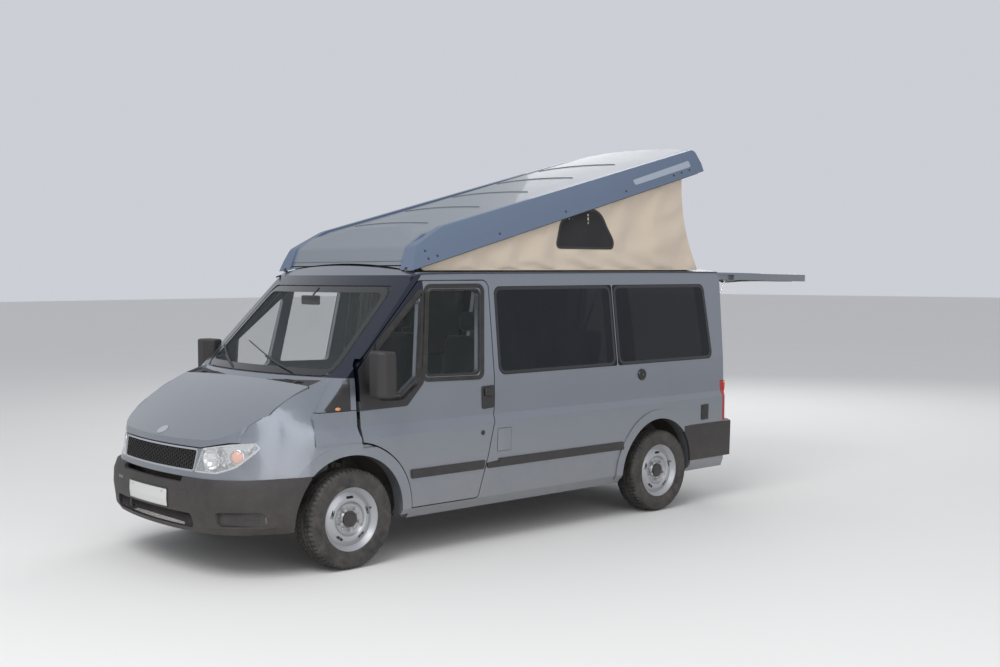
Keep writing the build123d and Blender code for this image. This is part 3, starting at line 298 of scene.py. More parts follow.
silverBlue = (0.225, 0.243, 0.275)
navy = (0.012, 0.017, 0.034)
finishes = {
    "body_paint": paint("silverBluePaint", silverBlue),
    # The raised roof's shell: darker blue flanks as painted shade, and a paler middle as painted sky light
    "roof_shell": paint("roofGelcoat", (0.10, 0.135, 0.20), dirt=0.0, roughness=0.52, metallic=0.1,
                        second=(0.19, 0.21, 0.235), masked=roofMiddleSkyLight, coat=0.12),
    "dark_plastic": mouldedPlastic("bumperPlastic", (0.022, 0.019, 0.019), fade=0.18),
    "bright_trim": paint("grilleSilver", (0.42, 0.44, 0.47), dirt=0.3, roughness=0.3, metallic=0.6),
    "lamp_bowl": bareMetal("lampMirror", (0.75, 0.75, 0.76), 0.14),
    "clear_lens": glass("lampLens", (0.85, 0.87, 0.88), 0.16),
    "red_lens": Finish("tailLens", (0.35, 0.01, 0.012), 0.12, Coat_Weight=0.6).material,
    "window_glass": glass("windowGlass", (0.04, 0.05, 0.05), 0.1, 0.02),
    "tyre": rubber("tyreRubber"),
    "spare": rubber("spareRubber"),
    "wheel_steel": paint("wheelSilver", (0.4, 0.41, 0.43), dirt=0.5, roughness=0.36, metallic=0.8),
    "chassis_steel": blackSteel("underbodyPaint"),
    "cast_parts": bareMetal("engineCasting", (0.28, 0.28, 0.29), 0.5, 0.3),
    "core_metal": blackSteel("radiatorCore", (0.02, 0.02, 0.02), 0.1),
    "pipe_steel": bareMetal("exhaustSteel", (0.33, 0.3, 0.28), 0.45, 0.8),
    "strut_black": blackSteel("strutPaint", (0.015, 0.015, 0.016), 0.0),
    "strut_chrome": bareMetal("strutChrome", (0.7, 0.7, 0.7), 0.12),
    "cabin_plastic": mouldedPlastic("dashPlastic", (0.42, 0.46, 0.42), 0.6, 500, 0.0005, 0.3, 0.0),
    "wheel_plastic": mouldedPlastic("wheelPlastic", (0.02, 0.02, 0.022), 0.5, 600, 0.0004, 0.2, 0.0),
    "seat_cloth": cloth("seatCloth", (0.018, 0.018, 0.022), (0.05, 0.05, 0.06)),
    "cabinet_board": board("cabinetBoard", (0.62, 0.6, 0.55), (0.5, 0.47, 0.42)),
    "tent_cloth": cloth("tentCanvas", (0.56, 0.47, 0.37), (0.66, 0.57, 0.47), weave=500),
}
for part in frame["record"]["subparts"]:
    surface = nodes[part["node"]].data
    surface.materials.clear()
    surface.materials.append(finishes[part["material_slot"]])
# Side paint that turns navy under that mask: the pillars' own dark film, and painted shade on the header
bodyFinish = paint("sidePaint", silverBlue, second=navy, masked=pillarFilmAndHeaderShade)
doorFinish = paint("doorPaint", silverBlue, second=navy, masked=doorPillar)
ownFinishes = {
    "side_windows": glass("smokedGlass", (0.006, 0.008, 0.012), 0.86, 0.02, 1.3, 0.03),
    "windscreen": glass("screenGlass", (0.2, 0.23, 0.23), 0.05, 0.02),
    "front_door_left": doorFinish, "front_door_right": doorFinish,
    "body_side_left": bodyFinish, "body_side_right": bodyFinish,
    "cab_frame": bodyFinish, "front_wings": bodyFinish,
}
for node, finish in ownFinishes.items():
    nodes[node].data.materials[0] = finish
print("finishes on the CAD nodes")


# Modelling helpers: a piece starts as a primitive, is shaped in edit mode and ends at the origin on its body
def alone(piece):
    bpy.ops.object.select_all(action="DESELECT")
    piece.select_set(True)
    bpy.context.view_layer.objects.active = piece


def started(kind, **settings):
    bpy.ops.object.select_all(action="DESELECT")
    getattr(bpy.ops.mesh, "primitive_" + kind + "_add")(**settings)
    return bpy.context.object


def pick(piece, test, mode="FACE"):
    # Leaves the piece in edit mode with the chosen faces, edges or points selected
    alone(piece)
    flags = {"VERT": (True, False, False), "EDGE": (False, True, False), "FACE": (False, False, True)}
    bpy.context.tool_settings.mesh_select_mode = flags[mode]
    for group in (piece.data.vertices, piece.data.edges, piece.data.polygons):
        group.foreach_set("select", [False] * len(group))
    if mode == "FACE":
        for face in piece.data.polygons:
            face.select = test(face.center, face.normal)
    elif mode == "VERT":
        for vertex in piece.data.vertices:
            vertex.select = test(vertex.co)
    else:
        points = piece.data.vertices
        for edge in piece.data.edges:
            edge.select = test(points[edge.vertices[0]].co, points[edge.vertices[1]].co)
    bpy.ops.object.mode_set(mode="EDIT")


def pickAll(piece, mode="FACE"):
    pick(piece, lambda *part: True, mode)
    bpy.ops.mesh.select_all(action="SELECT")


def shut():
    bpy.ops.object.mode_set(mode="OBJECT")


def applied(piece):
    # Puts the object's place, turn and size into its mesh
    alone(piece)
    bpy.ops.object.transform_apply(location=True, rotation=True, scale=True)
    return piece


def modify(piece, kind, **settings):
    alone(piece)
    bpy.ops.object.modifier_add(type=kind)
    modifier = piece.modifiers[-1]
    for name, value in settings.items():
        setattr(modifier, name, value)
    bpy.ops.object.modifier_apply(modifier=modifier.name)
    return piece


def cleaned(piece):
    pickAll(piece, "VERT")
    bpy.ops.mesh.remove_doubles(threshold=0.0001)
    bpy.ops.mesh.normals_make_consistent(inside=False)
    shut()
    return piece


def evened(piece):
    # Turns all of an open sheet's faces the same way
    pickAll(piece)
    bpy.ops.mesh.normals_make_consistent(inside=False)
    shut()
    return piece


def joined(parts):
    alone(parts[0])
    for piece in parts:
        piece.select_set(True)
    if len(parts) > 1:
        bpy.ops.object.join()
    return bpy.context.object


def settle(piece, name, material, body, smooth=35):
    applied(piece)
    if smooth:
        bpy.ops.object.shade_smooth_by_angle(angle=math.radians(smooth))
    piece.name = name
    piece.data.name = name
    if material:
        piece.data.materials.clear()
        piece.data.materials.append(material)
    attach(piece, body)
    return piece


def copyOf(piece, matrix):
    made = piece.copy()
    made.data = piece.data.copy()
    made.parent = None
    made.matrix_world = Matrix.Identity(4)
    bpy.context.scene.collection.objects.link(made)
    made.data.transform(matrix)
    if matrix.determinant() < 0:
        made.data.flip_normals()
    return made


mirrorSide = Matrix.Scale(-1, 4, (0, 1, 0))


def rounded(points, radius, cuts=5):
    # A corner list with each corner turned into a short curve; a point may carry its own radius
    made = []
    for i, point in enumerate(points):
        here = Vector(point[:2])
        reach = point[2] if len(point) > 2 else radius
        before, after = Vector(points[i - 1][:2]) - here, Vector(points[(i + 1) % len(points)][:2]) - here
        reach = min(reach, before.length * 0.48, after.length * 0.48)
        if reach <= 0:
            made.append(here)
            continue
        a, b = here + before.normalized() * reach, here + after.normalized() * reach
        for k in range(cuts + 1):
            t = k / cuts
            made.append(a * (1 - t) ** 2 + here * (2 * t * (1 - t)) + b * t * t)
    return made


def outlined(points, toWorld):
    # A flat many-sided face whose corners are placed by toWorld
    piece = started("circle", vertices=len(points), radius=1, fill_type="NGON")
    for vertex, point in zip(piece.data.vertices, points):
        vertex.co = toWorld(*point)
    return piece


def sliced(piece, stations=(), heights=(), sides=()):
    # Cuts the faces along planes, in millimetres, so that they can follow a curved panel
    pickAll(piece)
    for axis, places in ((0, stations), (1, sides), (2, heights)):
        for place in places:
            at, along = [0, 0, 0], [0, 0, 0]
            at[axis], along[axis] = place, 1
            bpy.ops.mesh.select_all(action="SELECT")
            bpy.ops.mesh.bisect(plane_co=spot(*at), plane_no=along)
    shut()
    return piece


def steps(low, high, pitch):
    count = max(1, int((high - low) / pitch))
    return [low + (high - low) * k / count for k in range(1, count)]


# A view's start plane, the axis that it looks along, and whether it looks up that axis
views = {
    "left": (lambda a, b: spot(a, -1250, b), 1, True), "right": (lambda a, b: spot(a, 1250, b), 1, False),
    "front": (lambda a, b: spot(-1300, a, b), 0, True), "rear": (lambda a, b: spot(5400, a, b), 0, False),
    "top": (lambda a, b: spot(a, b, 3300), 2, False), "below": (lambda a, b: spot(a, b, -200), 2, True),
}


surfaces = dict(nodes)      # what a piece can be laid on: a CAD node, or the shell that stands for it


def laidOn(piece, target, view, lift):
    # Drops a flat piece's points along the view's axis onto the nearest of the CAD nodes
    start, axis, positive = views[view]
    level = start(0, 0)[axis]
    way = 1 if positive else -1
    along = Vector([way * (k == axis) for k in range(3)])
    targets = (target,) if isinstance(target, str) else target
    points = [vertex.co for vertex in piece.data.vertices]
    missed, found = [], []
    for co in points:
        hits = [surfaces[name].ray_cast(co, along) for name in targets]
        depths = [way * (place[axis] - level) for hit, place, normal, face in hits if hit]
        if depths:
            co[axis] = level + way * (min(depths) - lift)
            found.append(co.copy())
        else:
            missed.append(co)
    if not found:
        raise ValueError("no part of " + targets[0] + " lies under " + piece.name)
    for co in missed:                             # a point over a gap takes its neighbours' depth
        near = min(found, key=lambda other: sum((other[k] - co[k]) ** 2 for k in range(3) if k != axis))
        co[axis] = near[axis]
    evened(piece)
    average = sum(face.normal[axis] * face.area for face in piece.data.polygons)
    if (average > 0) == positive:
        piece.data.flip_normals()
    return piece


def cutToFollow(piece, points, view, pitch):
    across, up = [p[0] for p in points], [p[1] for p in points]
    first = steps(min(across), max(across), pitch[0])
    second = steps(min(up), max(up), pitch[1])
    if view in ("left", "right"):
        return sliced(piece, stations=first, heights=second)
    if view in ("front", "rear"):
        return sliced(piece, sides=first, heights=second)
    return sliced(piece, stations=first, sides=second)


def plateOn(view, points, target, thickness=0.003, lift=0.0004, pitch=(60, 25), bevel=0.0):
    # A thin plate laid on a CAD node, with its outline in millimetres as that view sees it
    piece = outlined(points, views[view][0])
    cutToFollow(piece, points, view, pitch)
    laidOn(piece, target, view, lift)
    modify(piece, "SOLIDIFY", thickness=thickness, offset=1.0)
    if bevel:
        modify(piece, "BEVEL", width=bevel, segments=2, limit_method="ANGLE", angle_limit=math.radians(50))
    return piece


def ringBetween(inner, outer, toWorld):
    # The strip of faces between an outline and a wider one with as many corners
    piece = started("circle", vertices=len(inner), radius=1)
    for vertex, point in zip(piece.data.vertices, inner):
        vertex.co = toWorld(*point)
    pickAll(piece, "VERT")
    bpy.ops.mesh.extrude_region_move()
    shut()
    for vertex, point in zip(list(piece.data.vertices)[len(inner):], outer):
        vertex.co = toWorld(*point)
    return piece


def bandOn(view, points, width, target, lift=0.0004, thickness=0.004, corner=40, pitch=(80, 40)):
    # A frame laid on a CAD node, between an outline and the same outline moved out
    inner = rounded(points, corner, 6)
    outer = grownBy(inner, width)
    piece = ringBetween(inner, outer, views[view][0])
    cutToFollow(piece, outer, view, pitch)
    laidOn(piece, target, view, lift)
    return modify(piece, "SOLIDIFY", thickness=thickness, offset=1.0)


def turned(profile, centre, axis, count=48):
    # A profile of (radius, along) pairs in millimetres, spun once about an axis through centre
    direction = Vector(axis).normalized()
    across = direction.orthogonal().normalized()
    middle = spot(*centre)
    piece = started("circle", vertices=3, radius=1)
    piece.data.clear_geometry()
    places = [middle + across * radius / 1000 + direction * along / 1000 for radius, along in profile]
    piece.data.from_pydata(places, [(k, k + 1) for k in range(len(places) - 1)], [])
    pickAll(piece, "VERT")
    bpy.ops.mesh.spin(steps=count, angle=math.tau, center=middle, axis=direction)
    bpy.ops.mesh.select_all(action="SELECT")
    bpy.ops.mesh.remove_doubles(threshold=0.00005)
    bpy.ops.mesh.normals_make_consistent(inside=False)
    shut()
    return piece


def knob(profile, station, height, sign, count):
    # A turned piece whose axis stands out of the van's side
    return turned(profile, (station, 0, height), (0, sign, 0), count)


def boxed(low, high, bevel=0.004, segments=3):
    # A block between two corners in millimetres, with rounded edges
    a, b = spot(*low), spot(*high)
    piece = applied(started("cube", size=1, location=(a + b) / 2, scale=b - a))
    return modify(piece, "BEVEL", width=bevel, segments=segments, limit_method="ANGLE")


def tubeAlong(points, radius, closed=False, resolution=4):
    # A round bar along smooth points, in millimetres
    bpy.ops.object.select_all(action="DESELECT")
    bpy.ops.curve.primitive_nurbs_path_add(location=(0, 0, 0))
    bar = bpy.context.object
    bar.data.splines.clear()
    line = bar.data.splines.new("NURBS")
    line.points.add(len(points) - 1)
    for place, point in zip(points, line.points):
        point.co = (*spot(*place), 1)
    line.order_u = 3
    line.use_endpoint_u = not closed
    line.use_cyclic_u = closed
    line.resolution_u = resolution
    bar.data.bevel_depth = radius / 1000
    bar.data.bevel_resolution = 3
    bar.data.use_fill_caps = True
    alone(bar)
    bpy.ops.object.convert(target="MESH")
    return bpy.context.object


blackTrim = mouldedPlastic("blackTrim", (0.016, 0.015, 0.016), 0.42, 480, 0.0004, 0.2, 0.4)
blackGloss = Finish("blackGloss", (0.012, 0.012, 0.013), 0.16, Coat_Weight=0.4).material
sealRubber = rubber("sealRubber", (0.014, 0.014, 0.015), 0.15)
navyPaint = paint("pillarFilm", (0.02, 0.028, 0.055), dirt=0.2, roughness=0.35, metallic=0.3)
amberLens = Finish("amberLens", (0.75, 0.27, 0.12), 0.14, Coat_Weight=0.7).material
mirrorGlass = Finish("mirrorGlass", (0.78, 0.8, 0.82), 0.03, 1.0).material
blankPlate = Finish("blankPlate", (0.62, 0.62, 0.6), 0.4, Coat_Weight=0.3).material
bolts = bareMetal("zincBolts", (0.5, 0.5, 0.48), 0.35, 0.3)
print("helpers and trim finishes ready")

# Trim on both sides of the body
trim = {
    "wing": [(-160, 1008), (62, 1009), (62, 1222), (-30, 1200), (-92, 1118), (-184, 1022, 12)],
    "door": [(77, 1001), (447, 1007, 20), (590, 1148, 25), (596, 1182), (560, 1182), (404, 1070, 12),
             (228, 1076, 12), (228, 1392), (240, 1420), (228, 1424), (77, 1262)],
    "stripHeights": (530, 590), "stripThick": 0.011,
    "repeater": (-88, 1024, 20, 11),
    "handle": [(1093, 1096, 14), (1205, 1100, 14), (1198, 944, 18), (1088, 938, 22)],
    "lock": (1073, 781, 17),
    "filler": (2735, 1085, 44),
    "vent": [(3424, 802, 8), (3514, 804, 8), (3512, 680, 8), (3425, 678, 8)],
}


def grownBy(points, amount):
    # The outline moved outwards by an even amount
    made = []
    area = sum(points[i - 1][0] * points[i][1] - points[i][0] * points[i - 1][1] for i in range(len(points)))
    outward = 1 if area > 0 else -1
    for i, here in enumerate(points):
        a = (Vector(here[:2]) - Vector(points[i - 1][:2])).normalized()
        b = (Vector(points[(i + 1) % len(points)][:2]) - Vector(here[:2])).normalized()
        normals = (Vector((a.y, -a.x)) + Vector((b.y, -b.x))) * outward
        made.append(Vector(here[:2]) + normals * (amount / max(0.4, 1 + a.dot(b))))
    return made


def oblong(across, up):
    # The corners of a rectangle between two limits each way
    (a, b), (c, d) = across, up
    return [(a, c), (b, c), (b, d), (a, d)]


for sideName, right in (("left", False), ("right", True)):
    sign = 1 if right else -1
    door = "front_door_" + sideName
    side = "body_side_" + sideName
    settle(plateOn(sideName, rounded(trim["wing"], 4), (side, "front_wings"), 0.004, bevel=0.001),
           "pillar_trim_" + sideName, blackTrim, "van_body")
    settle(plateOn(sideName, rounded(trim["door"], 4), door, 0.004, bevel=0.001),
           "door_trim_" + sideName, blackTrim, door)
print("side trim made")


# The wing between the headlamp and the arch flows in one curve
wing = {"stations": (-760, -150), "heights": (632, 1030), "pitch": (30, 25), "innerHalf": 0.5,
        "archReach": 492, "heldAngle": 48, "rounds": 120}


def softened(piece):
    (front, back), (low, high) = wing["stations"], wing["heights"]
    sliced(piece, stations=steps(front, back, wing["pitch"][0]), heights=steps(low, high, wing["pitch"][1]))
    pick(piece, lambda a, b: False, "EDGE")
    bpy.ops.mesh.edges_select_sharp(sharpness=math.radians(wing["heldAngle"]))
    shut()
    chosen = []
    for vertex in piece.data.vertices:
        station, height = (vertex.co.x - axleStation) * 1000, vertex.co.z * 1000
        inside = front < station < back and low < height < high and abs(vertex.co.y) > wing["innerHalf"]
        if inside and not vertex.select and math.hypot(station, height - axleHeight) > wing["archReach"]:
            chosen.append(vertex.index)
    piece.vertex_groups.new(name="soft").add(chosen, 1.0, "REPLACE")
    modify(piece, "SMOOTH", factor=0.5, iterations=wing["rounds"], vertex_group="soft")
    piece.vertex_groups.clear()


# Smooth copies of the outer shells: the CAD's own faces, joined up and shaded round
def smoothShell(node, angle):
    piece = copyOf(nodes[node], Matrix.Identity(4))
    alone(piece)
    bpy.ops.object.mode_set(mode="EDIT")
    bpy.ops.mesh.select_all(action="SELECT")
    bpy.ops.mesh.remove_doubles(threshold=0.00008)
    shut()
    if piece.data.has_custom_normals:
        bpy.ops.mesh.customdata_custom_splitnormals_clear()
    if node == "front_wings":
        softened(piece)
    bpy.ops.object.shade_smooth_by_angle(angle=math.radians(angle))
    modify(piece, "WEIGHTED_NORMAL", mode="FACE_AREA_WITH_ANGLE", keep_sharp=True, weight=70)
    return piece


plateRoom, plateFade = 0.004, 0.2
shells = {"front_wings": 28, "bonnet": 28, "pop_roof": 26, "front_bumper": 28, "rear_bumper": 26}
bodyOf = {part: body for body, parts in frame["record"]["behaviour"]["bodies"].items() for part in parts}
for node, angle in shells.items():
    shell = smoothShell(node, angle)
    settle(shell, node + "_shell", nodes[node].data.materials[0], bodyOf[node], smooth=0)
    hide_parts(node)
    surfaces[node] = shell
# Room for the number plate inside the van's length
for vertex in surfaces["front_bumper"].data.vertices:
    share = 1 - (vertex.co.x - cadBox[0].x) / plateFade
    vertex.co.x += plateRoom * max(0, share)
print("smooth shells made")


def depthAt(node, station, height, right=False):
    # The half width of a node's surface at a station and height, in millimetres
    sign = 1 if right else -1
    outside = spot(station, sign * 1300, height)
    hit, place, normal, face = surfaces[node].ray_cast(outside, Vector((0, -sign, 0)))
    return abs(place.y) * 1000 if hit else None


glazing = {
    "doorPane": [(610, 1187), (703, 1769), (1166, 1769), (1086, 1176)],
    "ventPane": [(241, 1085), (402, 1080), (548, 1186), (646, 1742), (238, 1392)],
    "frontPane": [(1257, 1164), (1288, 1781), (2480, 1781), (2456, 1168)],
    "rearPane": [(2478, 1168), (2503, 1781), (3604, 1779), (3620, 1170)],
    "rubberWidth": 30, "fritWidth": 26,
}

for sideName, right in (("left", False), ("right", True)):
    sign = 1 if right else -1
    door = "front_door_" + sideName
    side = "body_side_" + sideName
    for label, corner in (("doorPane", 30), ("ventPane", 24)):
        panes = "door_windows_" + sideName
        outline = glazing[label]
        frameStrip = bandOn(sideName, grownBy(outline, 3), glazing["rubberWidth"], door, corner=corner)
        lip = bandOn(sideName, grownBy(outline, -15), 14, panes, 0.0003, 0.003, corner)
        settle(joined([frameStrip, lip]), label + "_seal_" + sideName, sealRubber, door)
    for label in ("frontPane", "rearPane"):
        inner = grownBy(glazing[label], -glazing["fritWidth"])
        edge = bandOn(sideName, inner, glazing["fritWidth"] - 4, "side_windows", 0.0003, 0.0012, 45)
        settle(edge, label + "_border_" + sideName, blackGloss, "van_body")
    # Rubbing strips, one for each panel, so that the doors open with theirs
    low, high = trim["stripHeights"]
    runs = [(door, 452, 1084, door)]
    if right:
        runs += [("sliding_door", 1146, 2422, "van_body"), (side, 2448, 2486, "van_body")]
    else:
        runs += [(side, 1108, 2486, "van_body")]
    for number, (node, start, end, body) in enumerate(runs):
        ends = (8, 14) if node == door else (10, 10)
        shape = rounded([(start + ends[0], low), (end, low), (end + 8 * (node == door), high),
                         (start, high)], 8, 3)
        strip = plateOn(sideName, shape, node, trim["stripThick"], pitch=(120, 14), bevel=0.003)
        settle(strip, "rubbing_strip_%s_%d" % (sideName, number), blackTrim, body)

    # Door handle: a dished plate with a bar over it, and the lock beside it
    handle = plateOn(sideName, rounded(trim["handle"], 14), door, 0.006, pitch=(20, 20), bevel=0.002)
    face = depthAt(door, 1140, 1020, right) + 6
    bar = boxed((1108, sign * (face - 1), 1030), (1180, sign * (face + 17), 1082), 0.007)
    pick(bar, lambda centre, normal: normal.y * sign > 0.9)
    bpy.ops.mesh.inset(thickness=0.007, depth=-0.004)
    shut()
    handle = joined([handle, bar])
    settle(handle, "door_handle_" + sideName, blackTrim, door)
    station, height, radius = trim["lock"]
    wall = depthAt(door, station, height, right)
    lock = knob([(0, wall + 7), (6, wall + 7), (8, wall + 4), (14, wall + 5), (radius, wall + 2),
                 (radius, wall - 2)], station, height, sign, 32)
    settle(lock, "door_lock_" + sideName, blackTrim, door)

    # Side repeater on the wing trim
    station, height, wide, tall = trim["repeater"]
    wall = (depthAt(side, station, height, right) or 915) + 4
    lamp = started("uv_sphere", segments=32, ring_count=16, radius=1,
                   location=spot(station, sign * wall, height), scale=(wide / 1000, 0.006, tall / 1000))
    settle(lamp, "side_repeater_" + sideName, amberLens, "van_body")

    # Gutter rail over the doors and windows, a round bar
    line = [(560, 1849), (620, 1868), (760, 1874), (1600, 1876), (2600, 1877), (3500, 1876), (3800, 1874)]
    points = [(station, sign * ((depthAt("roof_panel", station, height, right) or 820) + 2), height)
              for station, height in line]
    settle(tubeAlong(points, 6, resolution=8), "gutter_" + sideName, navyPaint, "van_body")
print("side glazing and trim made")

# Fuel flap, filler cap and vent, on the left
flap = {"outline": [(1211, 797), (1334, 797), (1330, 640), (1205, 640)], "gap": 3}
seamLine = rounded(grownBy(flap["outline"], flap["gap"]), 12)
seamPlate = plateOn("left", seamLine, "body_side_left", 0.0006, 0.0002)
settle(seamPlate, "fuel_flap_gap", blackTrim, "van_body")
lid = plateOn("left", rounded(flap["outline"], 10), "body_side_left", 0.0022, 0.0003, bevel=0.0006)
settle(lid, "fuel_flap", finishes["body_paint"], "van_body")
station, height, radius = trim["filler"]
wall = depthAt("body_side_left", station, height)
cap = knob([(0, wall + 9), (5, wall + 9), (6, wall + 13), (13, wall + 13), (14, wall + 10), (30, wall + 11),
            (33, wall + 14), (40, wall + 12), (radius, wall + 7), (radius + 1, wall - 3)],
           station, height, -1, 48)
settle(cap, "water_filler_cap", blackTrim, "van_body")
keyhole = boxed((station - 2, -(wall + 15), height - 6), (station + 2, -(wall + 12.5), height + 6), 0.001)
settle(keyhole, "filler_keyhole", bolts, "van_body")
vent = plateOn("left", rounded(trim["vent"], 8), "body_side_left", 0.006, pitch=(30, 30), bevel=0.002)
wall = depthAt("body_side_left", 3470, 740) + 6
slats = [vent]
for k in range(5):
    height = 700 + k * 20
    slat = boxed((3434, -(wall + 4), height), (3505, -(wall - 1), height + 9), 0.002, 2)
    slats.append(slat)
settle(joined(slats), "fridge_vent", blackTrim, "van_body")
print("flap, cap and vent made")

# Sliding door: its rail along the rear panel and its handle, on the right
rail = {"height": (1118, 1146), "run": (2520, 3600),
        "handle": [(1290, 1096, 14), (1402, 1096, 14), (1402, 940, 20), (1290, 940, 20)]}
track = plateOn("right", rounded(oblong(rail["run"], rail["height"]), 6), "body_side_right", 0.005,
                pitch=(120, 12), bevel=0.0015)
settle(track, "slide_rail", blackTrim, "van_body")
slideHandle = plateOn("right", rounded(rail["handle"], 14), "sliding_door", 0.006,
                      pitch=(20, 20), bevel=0.002)
face = depthAt("sliding_door", 1345, 1020, True) + 6
bar = boxed((1306, face - 1, 1030), (1386, face + 17, 1082), 0.007)
settle(joined([slideHandle, bar]), "slide_handle", blackTrim, "van_body")
print("sliding door trim made")


def hitFrom(view, node, a, b):
    # The place where a view's line meets a CAD node
    start, axis, positive = views[view]
    along = Vector([(1 if positive else -1) * (k == axis) for k in range(3)])
    hit, place, normal, face = surfaces[node].ray_cast(start(a, b), along)
    return place if hit else None


# Grille: a honeycomb in the silver frame
grille = {"cellRadius": 15.5, "wall": 0.24, "depth": 0.007, "columns": 21, "rows": 6,
          "foot": (456, 669), "head": (473, 788)}


def addHoneycomb():
    radius = grille["cellRadius"] / 1000
    low = spot(-960, -grille["head"][0] - 12, grille["foot"][1])
    pair = []
    for k in range(2):
        place = low + Vector((0, k * 1.5 * radius, k * 0.866 * radius))
        cell = started("circle", vertices=6, radius=radius, fill_type="NGON", location=place,
                       rotation=(0, -math.pi / 2, 0))
        applied(cell)
        cell.data.transform(Matrix.Translation(place) @ Matrix.Rotation(math.pi / 6 * 3, 4, "X")
                            @ Matrix.Translation(-place))
        pickAll(cell)
        bpy.ops.mesh.inset(thickness=radius * grille["wall"] / 2)
        bpy.ops.mesh.delete(type="FACE")
        shut()
        pair.append(cell)
    sheet = joined(pair)
    for offset, count in (((0, 3 * radius, 0), grille["columns"]), ((0, 0, 1.732 * radius), grille["rows"])):
        modify(sheet, "ARRAY", use_relative_offset=False, use_constant_offset=True,
               constant_offset_displace=offset, count=count)
    (footHalf, foot), (headHalf, head) = grille["foot"], grille["head"]
    slope = (headHalf - footHalf) / (head - foot)
    pickAll(sheet)
    for place, direction in (((0, 0, foot), (0, 0, -1)), ((0, 0, head), (0, 0, 1)),
                             ((0, footHalf, foot), (0, 1, -slope)), ((0, -footHalf, foot), (0, -1, -slope))):
        bpy.ops.mesh.select_all(action="SELECT")
        bpy.ops.mesh.bisect(plane_co=spot(*place), plane_no=direction, clear_outer=True)
    bpy.ops.mesh.select_all(action="SELECT")
    bpy.ops.mesh.remove_doubles(threshold=0.0002)
    shut()
    laidOn(sheet, "grille_mesh", "front", 0.0005)
    modify(sheet, "SOLIDIFY", thickness=grille["depth"], offset=1.0)
    return sheet


settle(addHoneycomb(), "grille_honeycomb", blackTrim, "van_body", smooth=0)
print("grille made")

# Headlamps: a mirrored bowl with its bulb, and a round amber indicator in a mirrored ring
lamp = {"main": (594, 742), "mainRadius": 60, "mainInset": 30, "indicator": (736, 756), "indicatorRadius": 38,
        "inset": 24}


def addHeadlamp(sideName, sign):
    sideY, height = lamp["main"]
    out = Vector((-0.94, sign * 0.34, 0.02)).normalized()
    centre = hitFrom("front", "headlamp_lenses", sign * sideY, height) - out * lamp["mainInset"] / 1000
    middle = ((centre.x - axleStation) * 1000, centre.y * 1000, centre.z * 1000)
    r = lamp["mainRadius"]
    bowl = turned([(r + 5, 14), (r + 4, 19), (r, 19), (r * 0.93, 10), (r * 0.78, 0), (r * 0.56, -10),
                   (r * 0.3, -16), (0, -18)], middle, out, 48)
    settle(bowl, "lamp_reflector_" + sideName, finishes["lamp_bowl"], "van_body")
    bulb = turned([(0, 14), (5, 12), (9, 7), (10, 0), (8, -9), (12, -12), (12, -17)], middle, out, 24)
    settle(bulb, "lamp_bulb_" + sideName, clearBulb, "van_body")
    sideY, height = lamp["indicator"]
    place = hitFrom("front", "headlamp_lenses", sign * sideY, height)
    out = Vector((-0.78, sign * 0.62, 0.05)).normalized()
    centre = place - out * lamp["inset"] / 1000
    station = (centre.x - axleStation) * 1000
    r = lamp["indicatorRadius"]
    dome = turned([(0, 14), (r * 0.35, 13), (r * 0.65, 9), (r * 0.88, 4), (r, -2), (r, -14)],
                  (station, centre.y * 1000, centre.z * 1000), out, 40)
    settle(dome, "front_indicator_" + sideName, amberLens, "van_body")
    ring = turned([(r + 1, -14), (r + 1, 2), (r + 4, 6), (r + 9, 2), (r + 9, -14)],
                  (station, centre.y * 1000, centre.z * 1000), out, 40)
    settle(ring, "indicator_ring_" + sideName, finishes["lamp_bowl"], "van_body")


clearBulb = Finish("bulbGlass", (0.9, 0.86, 0.75), 0.05, IOR=1.45, Alpha=0.6).material
for sideName, sign in (("left", -1), ("right", 1)):
    addHeadlamp(sideName, sign)
print("headlamps made")

# Bumper: mesh in the lower intake, covers in the fog lamp recesses, blank plate, slots and towing eye
bumper = {"intake": (505, 322, 404), "plate": (260, 55, 478), "fogs": (704, 884, 352, 426),
          "eye": (-893, 262, 382), "slots": (426, 531, 46, 9)}


def bumperFace(side):
    place = hitFrom("front", "front_bumper", side, 480)
    return (place.x - axleStation) * 1000


def addIntakeMesh():
    half, low, high = bumper["intake"]
    mesh = started("grid", x_subdivisions=64, y_subdivisions=7, size=1)
    for vertex in mesh.data.vertices:
        side, height = vertex.co.x * 2 * half, low + (vertex.co.y + 0.5) * (high - low)
        lean = (vertex.co.y + 0.5) * 12
        vertex.co = spot(bumperFace(side) + 30 + lean * 0.3, side + lean, height)
    pickAll(mesh)
    bpy.ops.mesh.poke()
    bpy.ops.mesh.tris_convert_to_quads(face_threshold=3.2, shape_threshold=3.2)
    shut()
    modify(mesh, "WIREFRAME", thickness=0.0032, use_even_offset=False)
    return mesh


settle(addIntakeMesh(), "intake_mesh", blackTrim, "van_body", smooth=0)
half, halfHeight, height = bumper["plate"]
corners = oblong((-half, half), (height - halfHeight, height + halfHeight))
settle(plateOn("front", rounded(corners, 10), "front_bumper", 0.0016, 0.0006, (30, 9), 0.0004),
       "front_plate", blankPlate, "van_body")
settle(bandOn("front", corners, 7, "front_bumper", 0.0001, 0.004, 10, (30, 12)),
       "front_plate_frame", blackTrim, "van_body")
screws = []
for side in (-200, 200):
    face = bumperFace(side) - 1.6
    screws.append(turned([(0, 2.2), (4, 1.8), (6, 0.6), (6, -1)], (face, side, height + 36), (-1, 0, 0), 16))
settle(joined(screws), "front_plate_screws", bolts, "van_body")

side, height, wide, tall = bumper["slots"]
slots = []
for sign in (-1, 1):
    shape = rounded(oblong((sign * side - wide, sign * side + wide), (height - tall, height + tall)), tall)
    slots.append(plateOn("front", shape, "front_bumper", 0.0008, 0.0002, (20, 30)))
settle(joined(slots), "bumper_slots", blackGloss, "van_body")

